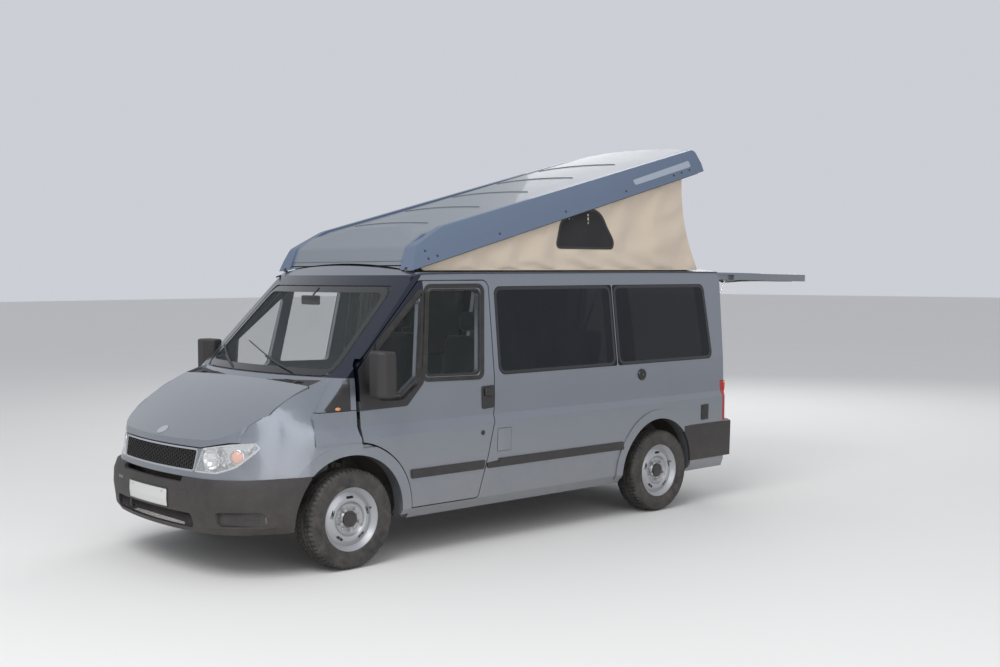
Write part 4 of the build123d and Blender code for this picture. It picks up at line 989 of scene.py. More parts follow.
inner, outer, low, high = bumper["fogs"]
for sideName, sign in (("left", -1), ("right", 1)):
    cover = started("grid", x_subdivisions=14, y_subdivisions=8, size=1)
    for vertex in cover.data.vertices:
        y = inner - 14 + (vertex.co.x + 0.5) * (outer - inner + 20)
        z = low - 10 + (vertex.co.y + 0.5) * (high - low + 20)
        bowl = 1 - min(1, (((vertex.co.x + 0.12) * 2.6) ** 2 + (vertex.co.y * 1.9) ** 2))
        vertex.co = spot(bumperFace(sign * y) + 34 - bowl * 9, sign * y, z)
    cleaned(cover)
    modify(cover, "SOLIDIFY", thickness=0.003, offset=0.0)
    modify(cover, "SUBSURF", levels=1, render_levels=1)
    rib = []
    for k in range(3):
        z = low + 16 + k * 20
        places = [(bumperFace(sign * y) + 29, sign * y, z) for y in (inner + 4, 760, 820, outer - 8)]
        rib.append(tubeAlong(places, 3))
    settle(joined([cover] + rib), "fog_recess_" + sideName, blackTrim, "van_body")
x, y, z = bumper["eye"]
eye = started("torus", major_radius=0.024, minor_radius=0.0065, major_segments=40, minor_segments=14,
              location=spot(x, y, z), rotation=(math.radians(90), 0, math.radians(28)))
stem = tubeAlong([(x + 20, y + 11, z), (x + 50, y + 26, z), (x + 110, y + 30, z + 16)], 8)
settle(joined([eye, stem]), "towing_eye", finishes["chassis_steel"], "van_body")
print("bumper fittings made")

# Plain oval boss on the bonnet
oval = [(46 * math.cos(k * math.tau / 36), 874 + 21 * math.sin(k * math.tau / 36)) for k in range(36)]
boss = plateOn("front", oval, "bonnet", 0.004, 0.0002, (14, 12), 0.0012)
settle(boss, "bonnet_boss", finishes["bright_trim"], "bonnet")

# Windscreen: black border, two wipers and the slats in the scuttle
screen = {"edge": [(-806, 1212), (806, 1212), (742, 1792), (-742, 1792)],
          "wipers": (((-560, 1198), (-426, 1236), (-20, 1322), (330, 1398)),
                     ((190, 1206), (330, 1246), (560, 1304), (742, 1352)))}
border = grownBy(screen["edge"], -48)
settle(bandOn("front", border, 40, "windscreen", 0.0003, 0.001, 60, (80, 60)), "screen_border", blackGloss,
       "van_body")


def onScreen(side, height, out):
    place = hitFrom("front", "windscreen", side, max(1232, height))
    return ((place.x - axleStation) * 1000 - out, side, height + out * 0.5)


for number, line in enumerate(screen["wipers"]):
    blade = tubeAlong([onScreen(*point, 7) for point in line], 4.5, resolution=6)
    rib = tubeAlong([onScreen(*point, 16) for point in line[1:]], 3, resolution=6)
    start = onScreen(*line[0], 10)
    pivot = (start[0] + 30, start[1] + (40 if number == 0 else 30), 1186)
    middle = onScreen(line[2][0] - 60, line[2][1] - 14, 20)
    bend = (pivot[0] - 22, pivot[1] + 8, 1206)
    arm = tubeAlong([pivot, bend, onScreen(*line[1], 22), middle], 6.5, resolution=6)
    hub = turned([(0, 12), (9, 11), (15, 4), (16, -14)], pivot, (-0.3, 0, 1), 24)
    settle(joined([blade, rib, arm, hub]), "wiper_%d" % (number + 1), blackTrim, "van_body")

slats = []
for sign in (-1, 1):
    for k in range(4):
        station = -192 + k * 11
        ends = (sign * (275 + 50 * k), sign * 545)
        shape = rounded(oblong((station, station + 6), ends), 3, 2)
        slats.append(plateOn("top", shape, "scuttle_panel", 0.004, 0.0002, (20, 60)))
settle(joined(slats), "scuttle_slats", blackTrim, "van_body")
print("windscreen fittings made")

# Door mirrors: glass in a dark rim on the rear face
for sideName, sign in (("left", -1), ("right", 1)):
    outline = [(sign * 1176, 1122), (sign * 1012, 1116), (sign * 1012, 1366), (sign * 1172, 1366)]
    node = "mirror_" + sideName
    door = "front_door_" + sideName
    settle(plateOn("rear", rounded(outline, 26), node, 0.002, 0.0004, (60, 80)), "mirror_glass_" + sideName,
           mirrorGlass, door)
    settle(bandOn("rear", outline, 5, node, 0.0002, 0.004, 26, (60, 80)), "mirror_rim_" + sideName, blackTrim,
           door)
print("mirrors made")


# Tyres: a spun carcass with ribs, then notches between the shoulder blocks and sipes in the ribs
tyre = {"pitches": 60, "notch": 0.006, "treadFoot": 300, "shoulder": 62, "rib": (24, 50), "centreRib": 14,
        "profile": [(203, 84), (206, 90), (214, 93), (222, 92), (232, 93.5), (246, 96.5), (262, 97.5), (268, 96.2),
                    (284, 95), (294, 93), (296, 94.5), (303, 91), (310, 84), (315, 76), (316, 62), (309, 61),
                    (309, 51), (317, 50), (317.5, 24), (310, 23), (310, 15), (318, 14)]}
tyreProfile = tyre["profile"] + [(r, -y) for r, y in reversed(tyre["profile"])]
wheelPlaces = {"front_left": (0, -1), "front_right": (0, 1), "rear_left": (wheelbase, -1),
               "rear_right": (wheelbase, 1)}


def addTyre():
    around = tyre["pitches"] * 4
    middle = spot(0, 0, axleHeight)
    piece = turned([(206, 78)] + tyreProfile + [(206, -78)], (0, 0, axleHeight), (0, 1, 0), around)

    def notched(centre, normal):
        level = centre - middle
        angle = math.atan2(level.z, level.x) % math.tau
        step = int(angle / math.tau * around + 0.001)
        radius = math.hypot(level.x, level.z) * 1000
        side = abs(level.y) * 1000
        if radius < tyre["treadFoot"] or radius > 317.2 and side < tyre["centreRib"]:
            return False
        if side > tyre["shoulder"]:
            return (step + (2 if level.y > 0 else 0)) % 4 == 0
        if tyre["rib"][0] < side < tyre["rib"][1] and radius > 314:
            return (step + (1 if level.y > 0 else 3)) % 4 == 0
        return False

    pick(piece, notched)
    bpy.ops.mesh.extrude_region_shrink_fatten(TRANSFORM_OT_shrink_fatten={"value": -tyre["notch"]})
    shut()
    return piece


first = addTyre()
for label, (station, sign) in wheelPlaces.items():
    made = copyOf(first, Matrix.Translation((station / 1000, sign * halfTrack / 1000, 0)))
    settle(made, "tyre_tread_" + label, finishes["tyre"], "wheel_" + label, smooth=32)
    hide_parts("tyre_" + label)
bpy.data.objects.remove(first)
print("tyres made")

# Wheel fittings: a black hub cap, domed nuts, a valve, a dark ring behind the disc, and painted shade in the slots
wheel = {"hub": 50, "nuts": 75, "valve": 172, "drum": (110, 163), "slots": 139, "slotRound": 8.5,
         "slotHalf": 19.5}
for label, (station, sign) in wheelPlaces.items():
    rim = "rim_" + label
    reach = depthAt(rim, station, axleHeight + 28, sign > 0) or 885
    r = wheel["hub"]
    hub = knob([(0, reach + 6), (34, reach + 6), (39, reach + 10), (r, reach + 9), (r + 2, reach + 3),
                (r + 2, reach - 4)], station, axleHeight, sign, 40)
    settle(hub, "hub_cap_" + label, blackTrim, "wheel_" + label)
    nuts = []
    for k in range(5):
        angle = math.tau * k / 5 + math.radians(90)
        x, z = station + wheel["nuts"] * math.cos(angle), axleHeight + wheel["nuts"] * math.sin(angle)
        wall = depthAt(rim, x, z, sign > 0) or reach
        nuts.append(knob([(0, wall + 9), (5, wall + 8), (9, wall + 5), (10.5, wall), (10.5, wall - 8)],
                         x, z, sign, 12))
    x, z = station + wheel["valve"] * math.cos(0.3), axleHeight + wheel["valve"] * math.sin(0.3)
    wall = depthAt(rim, x, z, sign > 0) or reach
    settle(joined(nuts), "wheel_nuts_" + label, bolts, "wheel_" + label)
    valve = knob([(0, wall + 16), (2.5, wall + 16), (3.2, wall + 9), (4, wall + 8), (5, wall)],
                 x, z, sign, 12)
    settle(valve, "tyre_valve_" + label, sealRubber, "wheel_" + label)
    x, z = station + wheel["slots"] * math.cos(0.63), axleHeight + wheel["slots"] * math.sin(0.63)
    hit, back, normal, face = surfaces[rim].ray_cast(spot(x, sign * 650, z), Vector((0, sign, 0)))
    inner, outer = wheel["drum"]
    near, far = abs(back.y) * 1000 - 5, abs(back.y) * 1000 - 9
    drum = knob([(inner, near), (outer, near), (outer, far), (inner, far), (inner, near)],
                station, axleHeight, sign, 48)
    settle(drum, "brake_cover_" + label, sealRubber, "wheel_" + label)
    # The other four slots get painted shade: dark plates laid on the disc where the slots are
    slotShadePlates = []
    for k in range(1, 5):               # the first slot, at the top, is a hole in the CAD wheel
        angle = math.radians(90 + 72 * k)
        along, out = Vector((-math.sin(angle), math.cos(angle))), Vector((math.cos(angle), math.sin(angle)))
        shape = []
        for step in range(16):
            turn = math.tau * (step + 0.5) / 16
            end = 1 if math.cos(turn) > 0 else -1
            reachAlong = wheel["slotRound"] * math.cos(turn) + wheel["slotHalf"] * end
            place = out * (wheel["slots"] + wheel["slotRound"] * math.sin(turn)) + along * reachAlong
            shape.append((station + place.x, axleHeight + place.y))
        slotShadePlates.append(plateOn("right" if sign > 0 else "left", shape, rim, 0.0006, 0.0002, (10, 10)))
    settle(joined(slotShadePlates), "wheel_slot_shade_" + label, sealRubber, "wheel_" + label)
print("wheel fittings made")


# Roof tent: three sheets of canvas from the roof panel up to the raised shell, with meshed windows
tent = {"foot": 1893, "side": 784, "front": (705, 1925), "rearTop": (3392, 2648), "rearFoot": 3592, "sag": 62,
        "slack": 0.011, "rearSlack": 0.008, "thick": 0.0012,
        "window": [(1990, 2068), (2560, 2068), (2566, 2110), (2480, 2285), (2400, 2338), (2333, 2344),
                   (2200, 2312), (2040, 2264)]}
tentCloth = {"gravity": 0.15, "bending": 6, "quality": 5, "frames": 21}
slope = (tent["rearTop"][1] - tent["front"][1]) / (tent["rearTop"][0] - tent["front"][0])


def rearEdge(share):
    # The tent's rear edge, which sags forward between the roof and the shell
    station = tent["rearFoot"] + (tent["rearTop"][0] - tent["rearFoot"]) * share
    height = tent["foot"] + (tent["rearTop"][1] - tent["foot"]) * share
    return station - tent["sag"] * math.sin(math.pi * share), height


def simulated(piece, frames):
    # Plays the cloth modifier that is last on the piece, keeps its shape and goes back to the first frame
    scene = bpy.context.scene
    for step in range(1, frames + 1):
        scene.frame_set(step)
    bpy.ops.object.modifier_apply(modifier=piece.modifiers[-1].name)
    scene.frame_set(1)


def crumpled(piece, slack):
    # Lets a sheet held along its edges fold softly: cloth with a little spare length, and little gravity
    alone(piece)
    edge = piece.vertex_groups.new(name="held")
    held = [v.index for v in piece.data.vertices if v.select]
    edge.add(held, 1.0, "REPLACE")
    bpy.ops.object.modifier_add(type="CLOTH")
    settings = piece.modifiers[-1].settings
    settings.vertex_group_mass = "held"
    settings.shrink_min = -slack
    settings.effector_weights.gravity = tentCloth["gravity"]
    settings.bending_stiffness = tentCloth["bending"]
    settings.quality = tentCloth["quality"]
    simulated(piece, tentCloth["frames"])
    piece.vertex_groups.clear()


def tentSide(sign):
    piece = started("grid", x_subdivisions=96, y_subdivisions=34, size=1)
    edges = []
    for vertex in piece.data.vertices:
        along, up = vertex.co.x + 0.5, vertex.co.y + 0.5
        station = tent["front"][0] + (rearEdge(up)[0] - tent["front"][0]) * along
        top = tent["front"][1] + slope * (station - tent["front"][0])
        low = tent["foot"] + 6
        height = low + (min(top, tent["rearTop"][1] + 2) - low) * up
        bow = math.sin(math.pi * up) * math.sin(math.pi * min(1, along * 1.15) ** 0.8) * 10
        crease = 2.2 * math.sin(along * 46 + 3 * math.sin(up * 4)) * (1 - up) ** 2
        crease *= math.sin(math.pi * min(1, up * 2))
        vertex.co = spot(station, sign * (tent["side"] - bow + crease), height)
        edges.append(along < 0.004 or along > 0.996 or up < 0.01 or up > 0.99)
    for vertex, held in zip(piece.data.vertices, edges):
        vertex.select = held
    crumpled(piece, tent["slack"])
    return piece


def sheetArea(piece):
    return sum(face.area for face in piece.data.polygons)


def flatten(piece):
    tuple(spot(2000, 0, tent["foot"]))
    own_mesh(piece)


def onTent(piece, wall, lift, sign):
    # Presses a flat patch from the side onto the tent's wall, so that it follows the folds
    return modify(piece, "SHRINKWRAP", target=wall, wrap_method="PROJECT", offset=lift, use_project_y=True,
                  use_positive_direction=sign < 0, use_negative_direction=sign > 0)


def sewn(patch, thickness, sign):
    # Thickens a patch towards the outside of the tent
    if (sum(face.normal.y * face.area for face in patch.data.polygons) > 0) != (sign > 0):
        patch.data.flip_normals()
    return modify(patch, "SOLIDIFY", thickness=thickness, offset=1.0)


mesh = Finish("windowMesh", (0.02, 0.02, 0.022), 0.9)
netting = mesh.node("TexWave", {"bands_direction": "X"}, {"Vector": mesh.place(), "Scale": 160.0})
mesh.put(Base_Color=mesh.mix(netting * 0.4, (0.014, 0.014, 0.016), (0.05, 0.048, 0.045)),
         Normal=mesh.bump(netting, 0.4, 0.001))
meshCloth = mesh.material
for sideName, sign in (("left", -1), ("right", 1)):
    wall = tentSide(sign)
    outline, fromSide = rounded(tent["window"], 40), views[sideName][0]
    pane = outlined(outline, fromSide)
    sliced(pane, stations=steps(1990, 2566, 40), heights=steps(2068, 2362, 30))
    sewn(evened(onTent(pane, wall, 0.0012, sign)), 0.0012, sign)
    settle(pane, "tent_window_" + sideName, meshCloth, "van_body")
    outer = [(station, min(height, tent["front"][1] + slope * (station - tent["front"][0]) - 5))
             for station, height in grownBy(outline, 16)]
    band = ringBetween(grownBy(outline, -3), outer, fromSide)
    sliced(band, stations=steps(1970, 2585, 40), heights=steps(2050, 2380, 30))
    sewn(cleaned(onTent(band, wall, 0.002, sign)), 0.0018, sign)
    settle(band, "tent_zip_" + sideName, blackTrim, "van_body")
    area = sheetArea(wall)
    modify(wall, "SOLIDIFY", thickness=tent["thick"], offset=0.0)
    settle(wall, "tent_" + sideName, finishes["tent_cloth"], "van_body", smooth=60)
    for piece in (wall, pane, band):
        flatten(piece)
    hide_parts("roof_tent")

back = started("grid", x_subdivisions=70, y_subdivisions=34, size=1)
held = []
for vertex in back.data.vertices:
    across, up = vertex.co.x * 2, vertex.co.y + 0.5
    station, height = rearEdge(up)
    swell = 14 * math.sin(math.pi * up) * math.cos(across * math.pi / 2)
    vertex.co = spot(station - swell - 2, across * (tent["side"] - 1), height + 6 * (1 - up))
    held.append(abs(across) > 0.99 or up < 0.01 or up > 0.99)
for vertex, fixed in zip(back.data.vertices, held):
    vertex.select = fixed
crumpled(back, tent["rearSlack"])
area = sheetArea(back)
modify(back, "SOLIDIFY", thickness=tent["thick"], offset=0.0)
settle(back, "tent_rear", finishes["tent_cloth"], "van_body", smooth=60)
flatten(back)

# A sewn hem along the foot of the tent
for sideName, sign in (("left", -1), ("right", 1)):
    foot = [(station, sign * (tent["side"] + 2), tent["foot"] + 4)
            for station in (715, 1500, 2500, 3300, 3580)]
    hem = tubeAlong(foot, 4)
    settle(hem, "tent_hem_" + sideName, finishes["tent_cloth"], "van_body")
print("tent made")

# Raised roof: rubber edge, screw caps and a plain strip on each flank
roofTrim = {"rubber": (640, 3560), "foot": (600, 1900), "raised": 15,
            "caps": ((150, 34), (230, 34), (150, 88), (820, 40), (1500, 40), (2180, 40), (2760, 40), (2860, 40),
                     (2960, 40)),
            "strip": ((2300, 62), (2990, 62), (3000, 112), (2300, 104))}
start, end = roofTrim["rubber"]
rubberEdges = []
for sign in (-1, 1):
    points = []
    for share in (0.0, 0.15, 0.4, 0.7, 0.95, 1.0):
        station = start + (end - start) * share
        place = None
        for side in (812, 800, 790, 780):
            place = hitFrom("below", "pop_roof", station, sign * side)
            if place is not None:
                break
        if place is not None:
            points.append((station, sign * side, place.z * 1000 - 1))
    if len(points) > 2:
        rubberEdges.append(tubeAlong(points, 6, resolution=8))
settle(joined(rubberEdges), "roof_edge_rubber", sealRubber, "pop_roof")

raisedAngle = math.radians(roofTrim["raised"])


def onFlank(distance, rise):
    # A place on the raised shell's flank: distance back along its foot and height above it
    station = roofTrim["foot"][0] + distance * math.cos(raisedAngle) - rise * math.sin(raisedAngle)
    height = roofTrim["foot"][1] + distance * math.sin(raisedAngle) + rise * math.cos(raisedAngle)
    return station, height


caps = []
for sign in (-1, 1):
    for distance, rise in roofTrim["caps"]:
        station, height = onFlank(distance, rise)
        wall = depthAt("pop_roof", station, height, sign > 0)
        if wall:
            caps.append(knob([(0, wall + 4), (5, wall + 3.5), (8, wall + 2), (9, wall - 2)],
                             station, height, sign, 16))
settle(joined(caps), "roof_screw_caps", blackTrim, "pop_roof")

corners = rounded([onFlank(*place) for place in roofTrim["strip"]], 16)
strips = [plateOn(sideName, corners, "pop_roof", 0.0012, 0.0004, (60, 20)) for sideName in ("left", "right")]
stripeFilm = Finish("roofStripe", (0.3, 0.34, 0.4), 0.55).material
settle(joined(strips), "roof_flank_strips", stripeFilm, "pop_roof")
print("roof trim made")


# Tailgate, raised: trim board and seal inside; glass border, handle, lamp, wiper and blank plate outside
gate = {"board": [(4600, -640), (5075, -620), (5075, 620), (4600, 640)],
        "edge": [(3928, -700), (4480, -703), (5085, -700), (5085, 700), (4480, 703), (3928, 700)],
        "plate": [(4846, -260), (4956, -260), (4956, 260), (4846, 260)],
        "handle": [(4742, -170), (4822, -176), (4822, 176), (4742, 170)],
        "glass": [(3952, -682), (4548, -692), (4548, 692), (3952, 682)],
        "brakeLamp": oblong((3868, 3902), (-150, 150))}
board = plateOn("below", rounded(gate["board"], 60), "tailgate", 0.004, 0.0004, (80, 80), 0.001)
ribs = []
for side in (-420, -140, 140, 420):
    low = hitFrom("below", "tailgate", 4830, side).z * 1000 - 4
    ribs.append(boxed((4640, side - 14, low - 5), (5035, side + 14, low + 1), 0.003))
settle(joined([board] + ribs), "tailgate_board", finishes["tent_cloth"], "tailgate")
points = []
for station, side in rounded(gate["edge"], 90, 6):
    place = hitFrom("below", "tailgate", station, side)
    points.append((station, side, (place.z * 1000 if place else 1790) - 1))
settle(tubeAlong(points, 5, closed=True), "tailgate_seal", sealRubber, "tailgate")
settle(bandOn("top", grownBy(gate["glass"], -34), 30, "tailgate_window", 0.0003, 0.001, 60, (80, 80)),
       "tailgate_glass_border", blackGloss, "tailgate")
plate = plateOn("top", rounded(gate["plate"], 10), "tailgate", 0.0016, 0.0003, (40, 40), 0.0004)
settle(plate, "rear_plate", blankPlate, "tailgate")
handle = plateOn("top", rounded(gate["handle"], 24), "tailgate", 0.009, 0.0003, (40, 40), 0.003)
settle(handle, "tailgate_handle", blackTrim, "tailgate")
brakeLamp = plateOn("top", rounded(gate["brakeLamp"], 10), "tailgate", 0.006, 0.0003, (20, 40), 0.002)
settle(brakeLamp, "high_brake_lamp", finishes["red_lens"], "tailgate")


def onGate(station, side, lift):
    place = hitFrom("top", "tailgate_window", station, side) or hitFrom("top", "tailgate", station, side)
    return (station, side, place.z * 1000 + lift)


motor = turned([(0, 18), (12, 17), (18, 10), (20, -4)], (4592, 0, onGate(4592, 0, 0)[2]), (0, 0, 1), 24)
arm = tubeAlong([onGate(4592, 0, 14), onGate(4480, 50, 14), onGate(4330, 130, 12)], 5)
blade = tubeAlong([onGate(4500, 20, 6), onGate(4330, 132, 6), onGate(4150, 250, 6)], 4.5)
settle(joined([motor, arm, blade]), "rear_wiper", blackTrim, "tailgate")
lock = boxed((5108, -45, onGate(5100, 0, 0)[2] - 48), (5132, 45, onGate(5100, 0, 0)[2] - 30), 0.004)
settle(lock, "tailgate_latch", bolts, "tailgate")
print("tailgate fitted")

# Tail lamps: clear and amber fields with dark bars, and the reflectors in the bumper
fields = {"indicator": ((884, 968), amberLens), "reversing": ((668, 730), finishes["clear_lens"])}
for sideName, sign in (("left", -1), ("right", 1)):
    for label, ((low, high), material) in fields.items():
        shape = rounded([(sign * 822, low), (sign * 948, low), (sign * 952, high), (sign * 822, high)], 10)
        field = plateOn("rear", shape, "tail_lamps", 0.0018, 0.0003, (16, 30), 0.0006)
        settle(field, "tail_%s_%s" % (label, sideName), material, "van_body")
    lines = []
    for height in (745, 812, 879, 974):
        shape = oblong((sign * 818, sign * 950), (height, height + 5))
        lines.append(plateOn("rear", shape, "tail_lamps", 0.0022, 0.0003, (16, 30)))
    settle(joined(lines), "tail_lamp_bars_" + sideName, blackGloss, "van_body")
    shape = rounded(oblong((sign * 700, sign * 820), (420, 452)), 8)
    reflector = plateOn("rear", shape, "rear_bumper", 0.003, 0.0003, (20, 16), 0.001)
    settle(reflector, "rear_reflector_" + sideName, finishes["red_lens"], "van_body")
print("rear fittings made")


# Cabin: padded seats on boxes, bench, curtains, kitchen doors and dashboard fittings
seatCloth = finishes["seat_cloth"]
padding = {"pressure": 4.0, "quality": 4, "frames": 20}


def puffed(piece, cap, voxel=0.014):
    # Pads a closed form: a voxel skin swollen by cloth pressure, with its swelling capped
    modify(piece, "REMESH", mode="VOXEL", voxel_size=voxel)
    before = [vertex.co.copy() for vertex in piece.data.vertices]
    alone(piece)
    bpy.ops.object.modifier_add(type="CLOTH")
    settings = piece.modifiers[-1].settings
    settings.use_pressure = True
    settings.uniform_pressure_force = padding["pressure"]
    settings.effector_weights.gravity = 0
    settings.quality = padding["quality"]
    simulated(piece, padding["frames"])
    for vertex, start in zip(piece.data.vertices, before):
        move = vertex.co - start
        if move.length > cap:
            vertex.co = start + move.normalized() * cap
    modify(piece, "SMOOTH", factor=0.5, iterations=4)
    return modify(piece, "SUBSURF", levels=1, render_levels=1)


def leant(piece, pivot, angle):
    piece.data.transform(Matrix.Translation(spot(*pivot)) @ Matrix.Rotation(math.radians(angle), 4, "Y")
                         @ Matrix.Translation(-spot(*pivot)))
    return piece


seat = {"cushion": ((792, -668, 732), (1262, -192, 836)), "back": ((1248, -664, 850), (1348, -196, 1440)),
        "rest": ((1268, -548, 1462), (1340, -312, 1606)), "lean": 12, "pivot": (1300, -430, 850),
        "base": ((830, 441), (1230, 728)), "baseHalf": 190, "middle": 430, "seams": 150}


def seatParts():
    cushion = boxed(*seat["cushion"], bevel=0.045, segments=5)
    back = boxed(*seat["back"], bevel=0.045, segments=5)
    rest = boxed(*seat["rest"], bevel=0.03, segments=4)
    puffed(cushion, 0.012)
    puffed(back, 0.012)
    puffed(rest, 0.008, voxel=0.012)
    for part in (back, rest):
        leant(part, seat["pivot"], seat["lean"])
    return {"seat_cushion": cushion, "seat_back": back, "headrest": rest}


first = seatParts()
for sideName, sign in (("left", -1), ("right", 1)):
    for label, part in first.items():
        made = part if sign < 0 else copyOf(part, mirrorSide)
        settle(made, "%s_%s" % (label, sideName), seatCloth, "van_body", smooth=60)
        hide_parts("front_seats")
    (front, low), (rear, high) = seat["base"]
    middle, half = sign * seat["middle"], seat["baseHalf"]
    box = boxed((front, middle - half, low), (rear, middle + half, high), 0.012)
    pick(box, lambda centre, normal: abs(normal.x) > 0.9 or abs(normal.y) > 0.9)
    bpy.ops.mesh.inset(thickness=0.03, depth=-0.008, use_individual=True)
    shut()
    stalks = [leant(tubeAlong([(1302, middle + offset, 1425), (1302, middle + offset, 1480)], 6),
                    (1300, middle, 850), seat["lean"]) for offset in (-60, 60)]
    settle(joined([box] + stalks), "seat_base_" + sideName, finishes["wheel_plastic"], "van_body")
    seams = [tubeAlong([(830, side, 838), (1000, side, 846), (1200, side, 844)], 3)
             for side in (middle - seat["seams"], middle + seat["seams"])]
    settle(joined(seams), "seat_piping_" + sideName, seatCloth, "van_body")
print("front seats made")

bench = {"cushion": ((2078, -560, 768), (2578, 560, 872)), "back": ((2572, -560, 880), (2662, 560, 1428)),
         "base": ((2082, -556, 441), (2556, 556, 762)), "lean": 8, "pivot": (2620, 0, 880)}
cushion, back = [puffed(boxed(*bench[part], bevel=0.04, segments=5), 0.012, voxel=0.018)
                 for part in ("cushion", "back")]
leant(back, bench["pivot"], bench["lean"])
for label, part in (("bench_cushion", cushion), ("bench_back", back)):
    settle(part, label, seatCloth, "van_body", smooth=60)
    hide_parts("rear_bench")
box = boxed(*bench["base"], bevel=0.01)
pick(box, lambda centre, normal: normal.x < -0.9)
bpy.ops.mesh.subdivide(number_cuts=1)
bpy.ops.mesh.inset(thickness=0.02, depth=-0.006, use_individual=True)
shut()
settle(box, "bench_base", finishes["cabinet_board"], "van_body")
print("bench made")

# Curtains gathered beside the side windows, on rails along the top of the inner trim
curtain = {"top": 1782, "foot": 1150, "wall": 985, "inset": 118, "lean": 115, "pleat": 9, "pleatWidth": 44}


def addCurtain(name, start, end, sign):
    piece = started("grid", x_subdivisions=140, y_subdivisions=20, size=1)
    folds = (end - start) / curtain["pleatWidth"]
    for vertex in piece.data.vertices:
        along, up = vertex.co.x + 0.5, vertex.co.y + 0.5
        height = curtain["foot"] + (curtain["top"] - curtain["foot"]) * up
        wall = curtain["wall"] - curtain["inset"] - curtain["lean"] * max(0, up - 0.02) ** 1.3
        phase = along * folds * math.tau + 0.7 * math.sin(up * 3 + along * 5)
        wave = math.sin(phase) * curtain["pleat"] * (1.15 - 0.35 * up)
        station = start + (end - start) * along + 3 * math.sin(along * 40)
        vertex.co = spot(station, sign * (wall + wave), height)
    area = sheetArea(piece)
    modify(piece, "SOLIDIFY", thickness=0.0012, offset=0.0)
    settle(piece, name, curtainCloth, "van_body", smooth=60)
    tall = (curtain["top"] - curtain["foot"]) / 1000
    round(area / tall, 3)
    side, height = sign * (curtain["wall"] - curtain["inset"] - curtain["lean"] + 1), curtain["top"] + 6
    rail = tubeAlong([(start - 10, side, height), (end + 10, side, height)], 4)
    settle(rail, name + "_rail", bolts, "van_body")


curtainCloth = cloth("curtainCloth", (0.26, 0.25, 0.24), (0.33, 0.32, 0.31))
for name, start, end, sign, wallNode in (("curtain_left_front", 1300, 2050, -1, "body_side_left"),
                                         ("curtain_left_rear", 2540, 2760, -1, "body_side_left"),
                                         ("curtain_right_front", 1300, 1520, 1, "sliding_door"),
                                         ("curtain_right_rear", 3340, 3580, 1, "body_side_right")):
    addCurtain(name, start, end, sign)
print("curtains made")

# Kitchen: doors and drawers with pulls, a worktop lip, sink and hob
kitchen = {"columns": ((2915, 3150), (3160, 3395), (3405, 3625)), "face": (-481, -476), "top": (880, 1082),
           "door": (470, 868), "drawers": ((470, 592), (602, 724), (734, 856))}
doors = []
pulls = []
inner, outer = kitchen["face"]
for k, (start, end) in enumerate(kitchen["columns"]):
    for low, high in (kitchen["top"], *(kitchen["drawers"] if k == 1 else (kitchen["door"],))):
        doors.append(boxed((start, inner, low), (end, outer, high), 0.002))
    pulls.append(tubeAlong([((start + end) / 2 - 40, -470, 1060), ((start + end) / 2 + 40, -470, 1060)], 4))
settle(joined(doors), "kitchen_doors", finishes["cabinet_board"], "van_body")
settle(joined(pulls), "kitchen_pulls", bolts, "van_body")
lip = boxed((2892, -838, 1116), (3648, -472, 1128), 0.004)
settle(lip, "worktop", finishes["cabin_plastic"], "van_body")
hob = boxed((2960, -800, 1127), (3240, -520, 1134), 0.004)
pick(hob, lambda centre, normal: normal.z > 0.9)
bpy.ops.mesh.inset(thickness=0.012, depth=-0.003)
shut()
rings = [started("torus", major_radius=0.045, minor_radius=0.005, major_segments=36, minor_segments=8,
                 location=spot(station, -660, 1137)) for station in (3040, 3160)]
settle(joined([hob] + rings), "hob", finishes["wheel_plastic"], "van_body")
sink = turned([(150, 1), (156, 5), (160, 1), (150, 0), (142, -1), (120, -2), (118, -4), (0, -4)],
              (3440, -660, 1129), (0, 0, 1), 48)
settle(sink, "sink_ring", bolts, "van_body")
print("kitchen made")

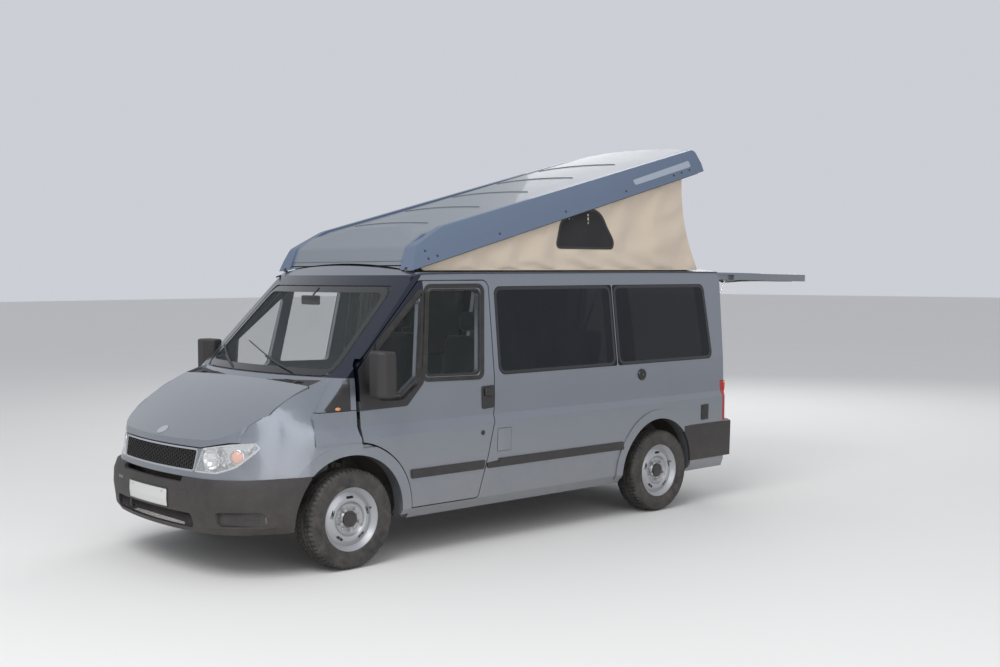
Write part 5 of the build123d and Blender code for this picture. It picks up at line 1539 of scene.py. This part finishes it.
# Dashboard: instrument hood, vents and the centre panel, and the mirror under the roof
hood = applied(started("uv_sphere", segments=40, ring_count=20, radius=1, location=spot(225, -430, 1120),
                       scale=(0.11, 0.19, 0.062)))
pickAll(hood, "VERT")
bpy.ops.mesh.bisect(plane_co=spot(0, 0, 1112), plane_no=(0, 0, 1), clear_inner=True, use_fill=True)
shut()
settle(hood, "instrument_hood", finishes["cabin_plastic"], "van_body")
panels = []
for side in (-720, -120, 120, 720):
    place = hitFrom("rear", "dashboard", side, 1010)
    if place is not None:
        station = (place.x - axleStation) * 1000
        panels.append(boxed((station - 3, side - 46, 980), (station + 5, side + 46, 1040), 0.004))
        for low in (988, 1001, 1014, 1027):
            panels.append(boxed((station + 4, side - 40, low), (station + 8, side + 40, low + 4), 0.001, 1))
place = hitFrom("rear", "dashboard", 0, 930)
station = (place.x - axleStation) * 1000
panels.append(boxed((station - 3, -95, 850), (station + 6, 95, 960), 0.005))
settle(joined(panels), "dash_vents", finishes["wheel_plastic"], "van_body")
mirror = applied(started("cube", size=1, location=spot(330, 0, 1690), scale=(0.02, 0.22, 0.065)))
modify(mirror, "BEVEL", width=0.012, segments=3)
stalk = tubeAlong([(338, 0, 1700), (360, 0, 1740), (400, 0, 1775)], 7)
settle(joined([mirror, stalk]), "cabin_mirror", blackTrim, "van_body")
print("dashboard fitted")


# Stage: pale floor, soft lamps and a pale world. Each lamp has its place, size and power.
stage = {"keyLamp": ((-7.5, -3.5, 8.5), 6, 620), "fillLamp": ((-3.0, -10.0, 4.0), 7, 190),
         "rearLamp": ((8.0, 5.0, 7.0), 6, 330)}


def addStage():
    bpy.ops.mesh.primitive_plane_add(size=160, location=(0, 0, -0.002))
    floor = bpy.context.object
    floor.name = "floor"
    made = Finish("paleFloor", (0.72, 0.71, 0.69), 0.85)
    made.put(Base_Color=made.mix(made.noise(0.6, 6) * 0.3, (0.74, 0.73, 0.71), (0.66, 0.65, 0.63)))
    floor.data.materials.append(made.material)
    for lampName, (place, size, power) in stage.items():
        bpy.ops.object.light_add(type="AREA", location=place)
        lamp = bpy.context.object
        lamp.name = lampName
        lamp.data.size = size
        lamp.data.energy = power
        aim = Vector((0, 0, 1.0)) - Vector(place)
        lamp.rotation_euler = aim.to_track_quat("-Z", "Y").to_euler()
    world = bpy.data.worlds.new("paleRoom")
    world.use_nodes = True
    sky = world.node_tree.nodes["Background"]
    sky.inputs["Color"].default_value = (0.86, 0.89, 0.95, 1)
    sky.inputs["Strength"].default_value = 0.7
    bpy.context.scene.world = world
    bpy.context.scene.view_settings.view_transform = "Standard"


addCamera()
addStage()

print("scene done")
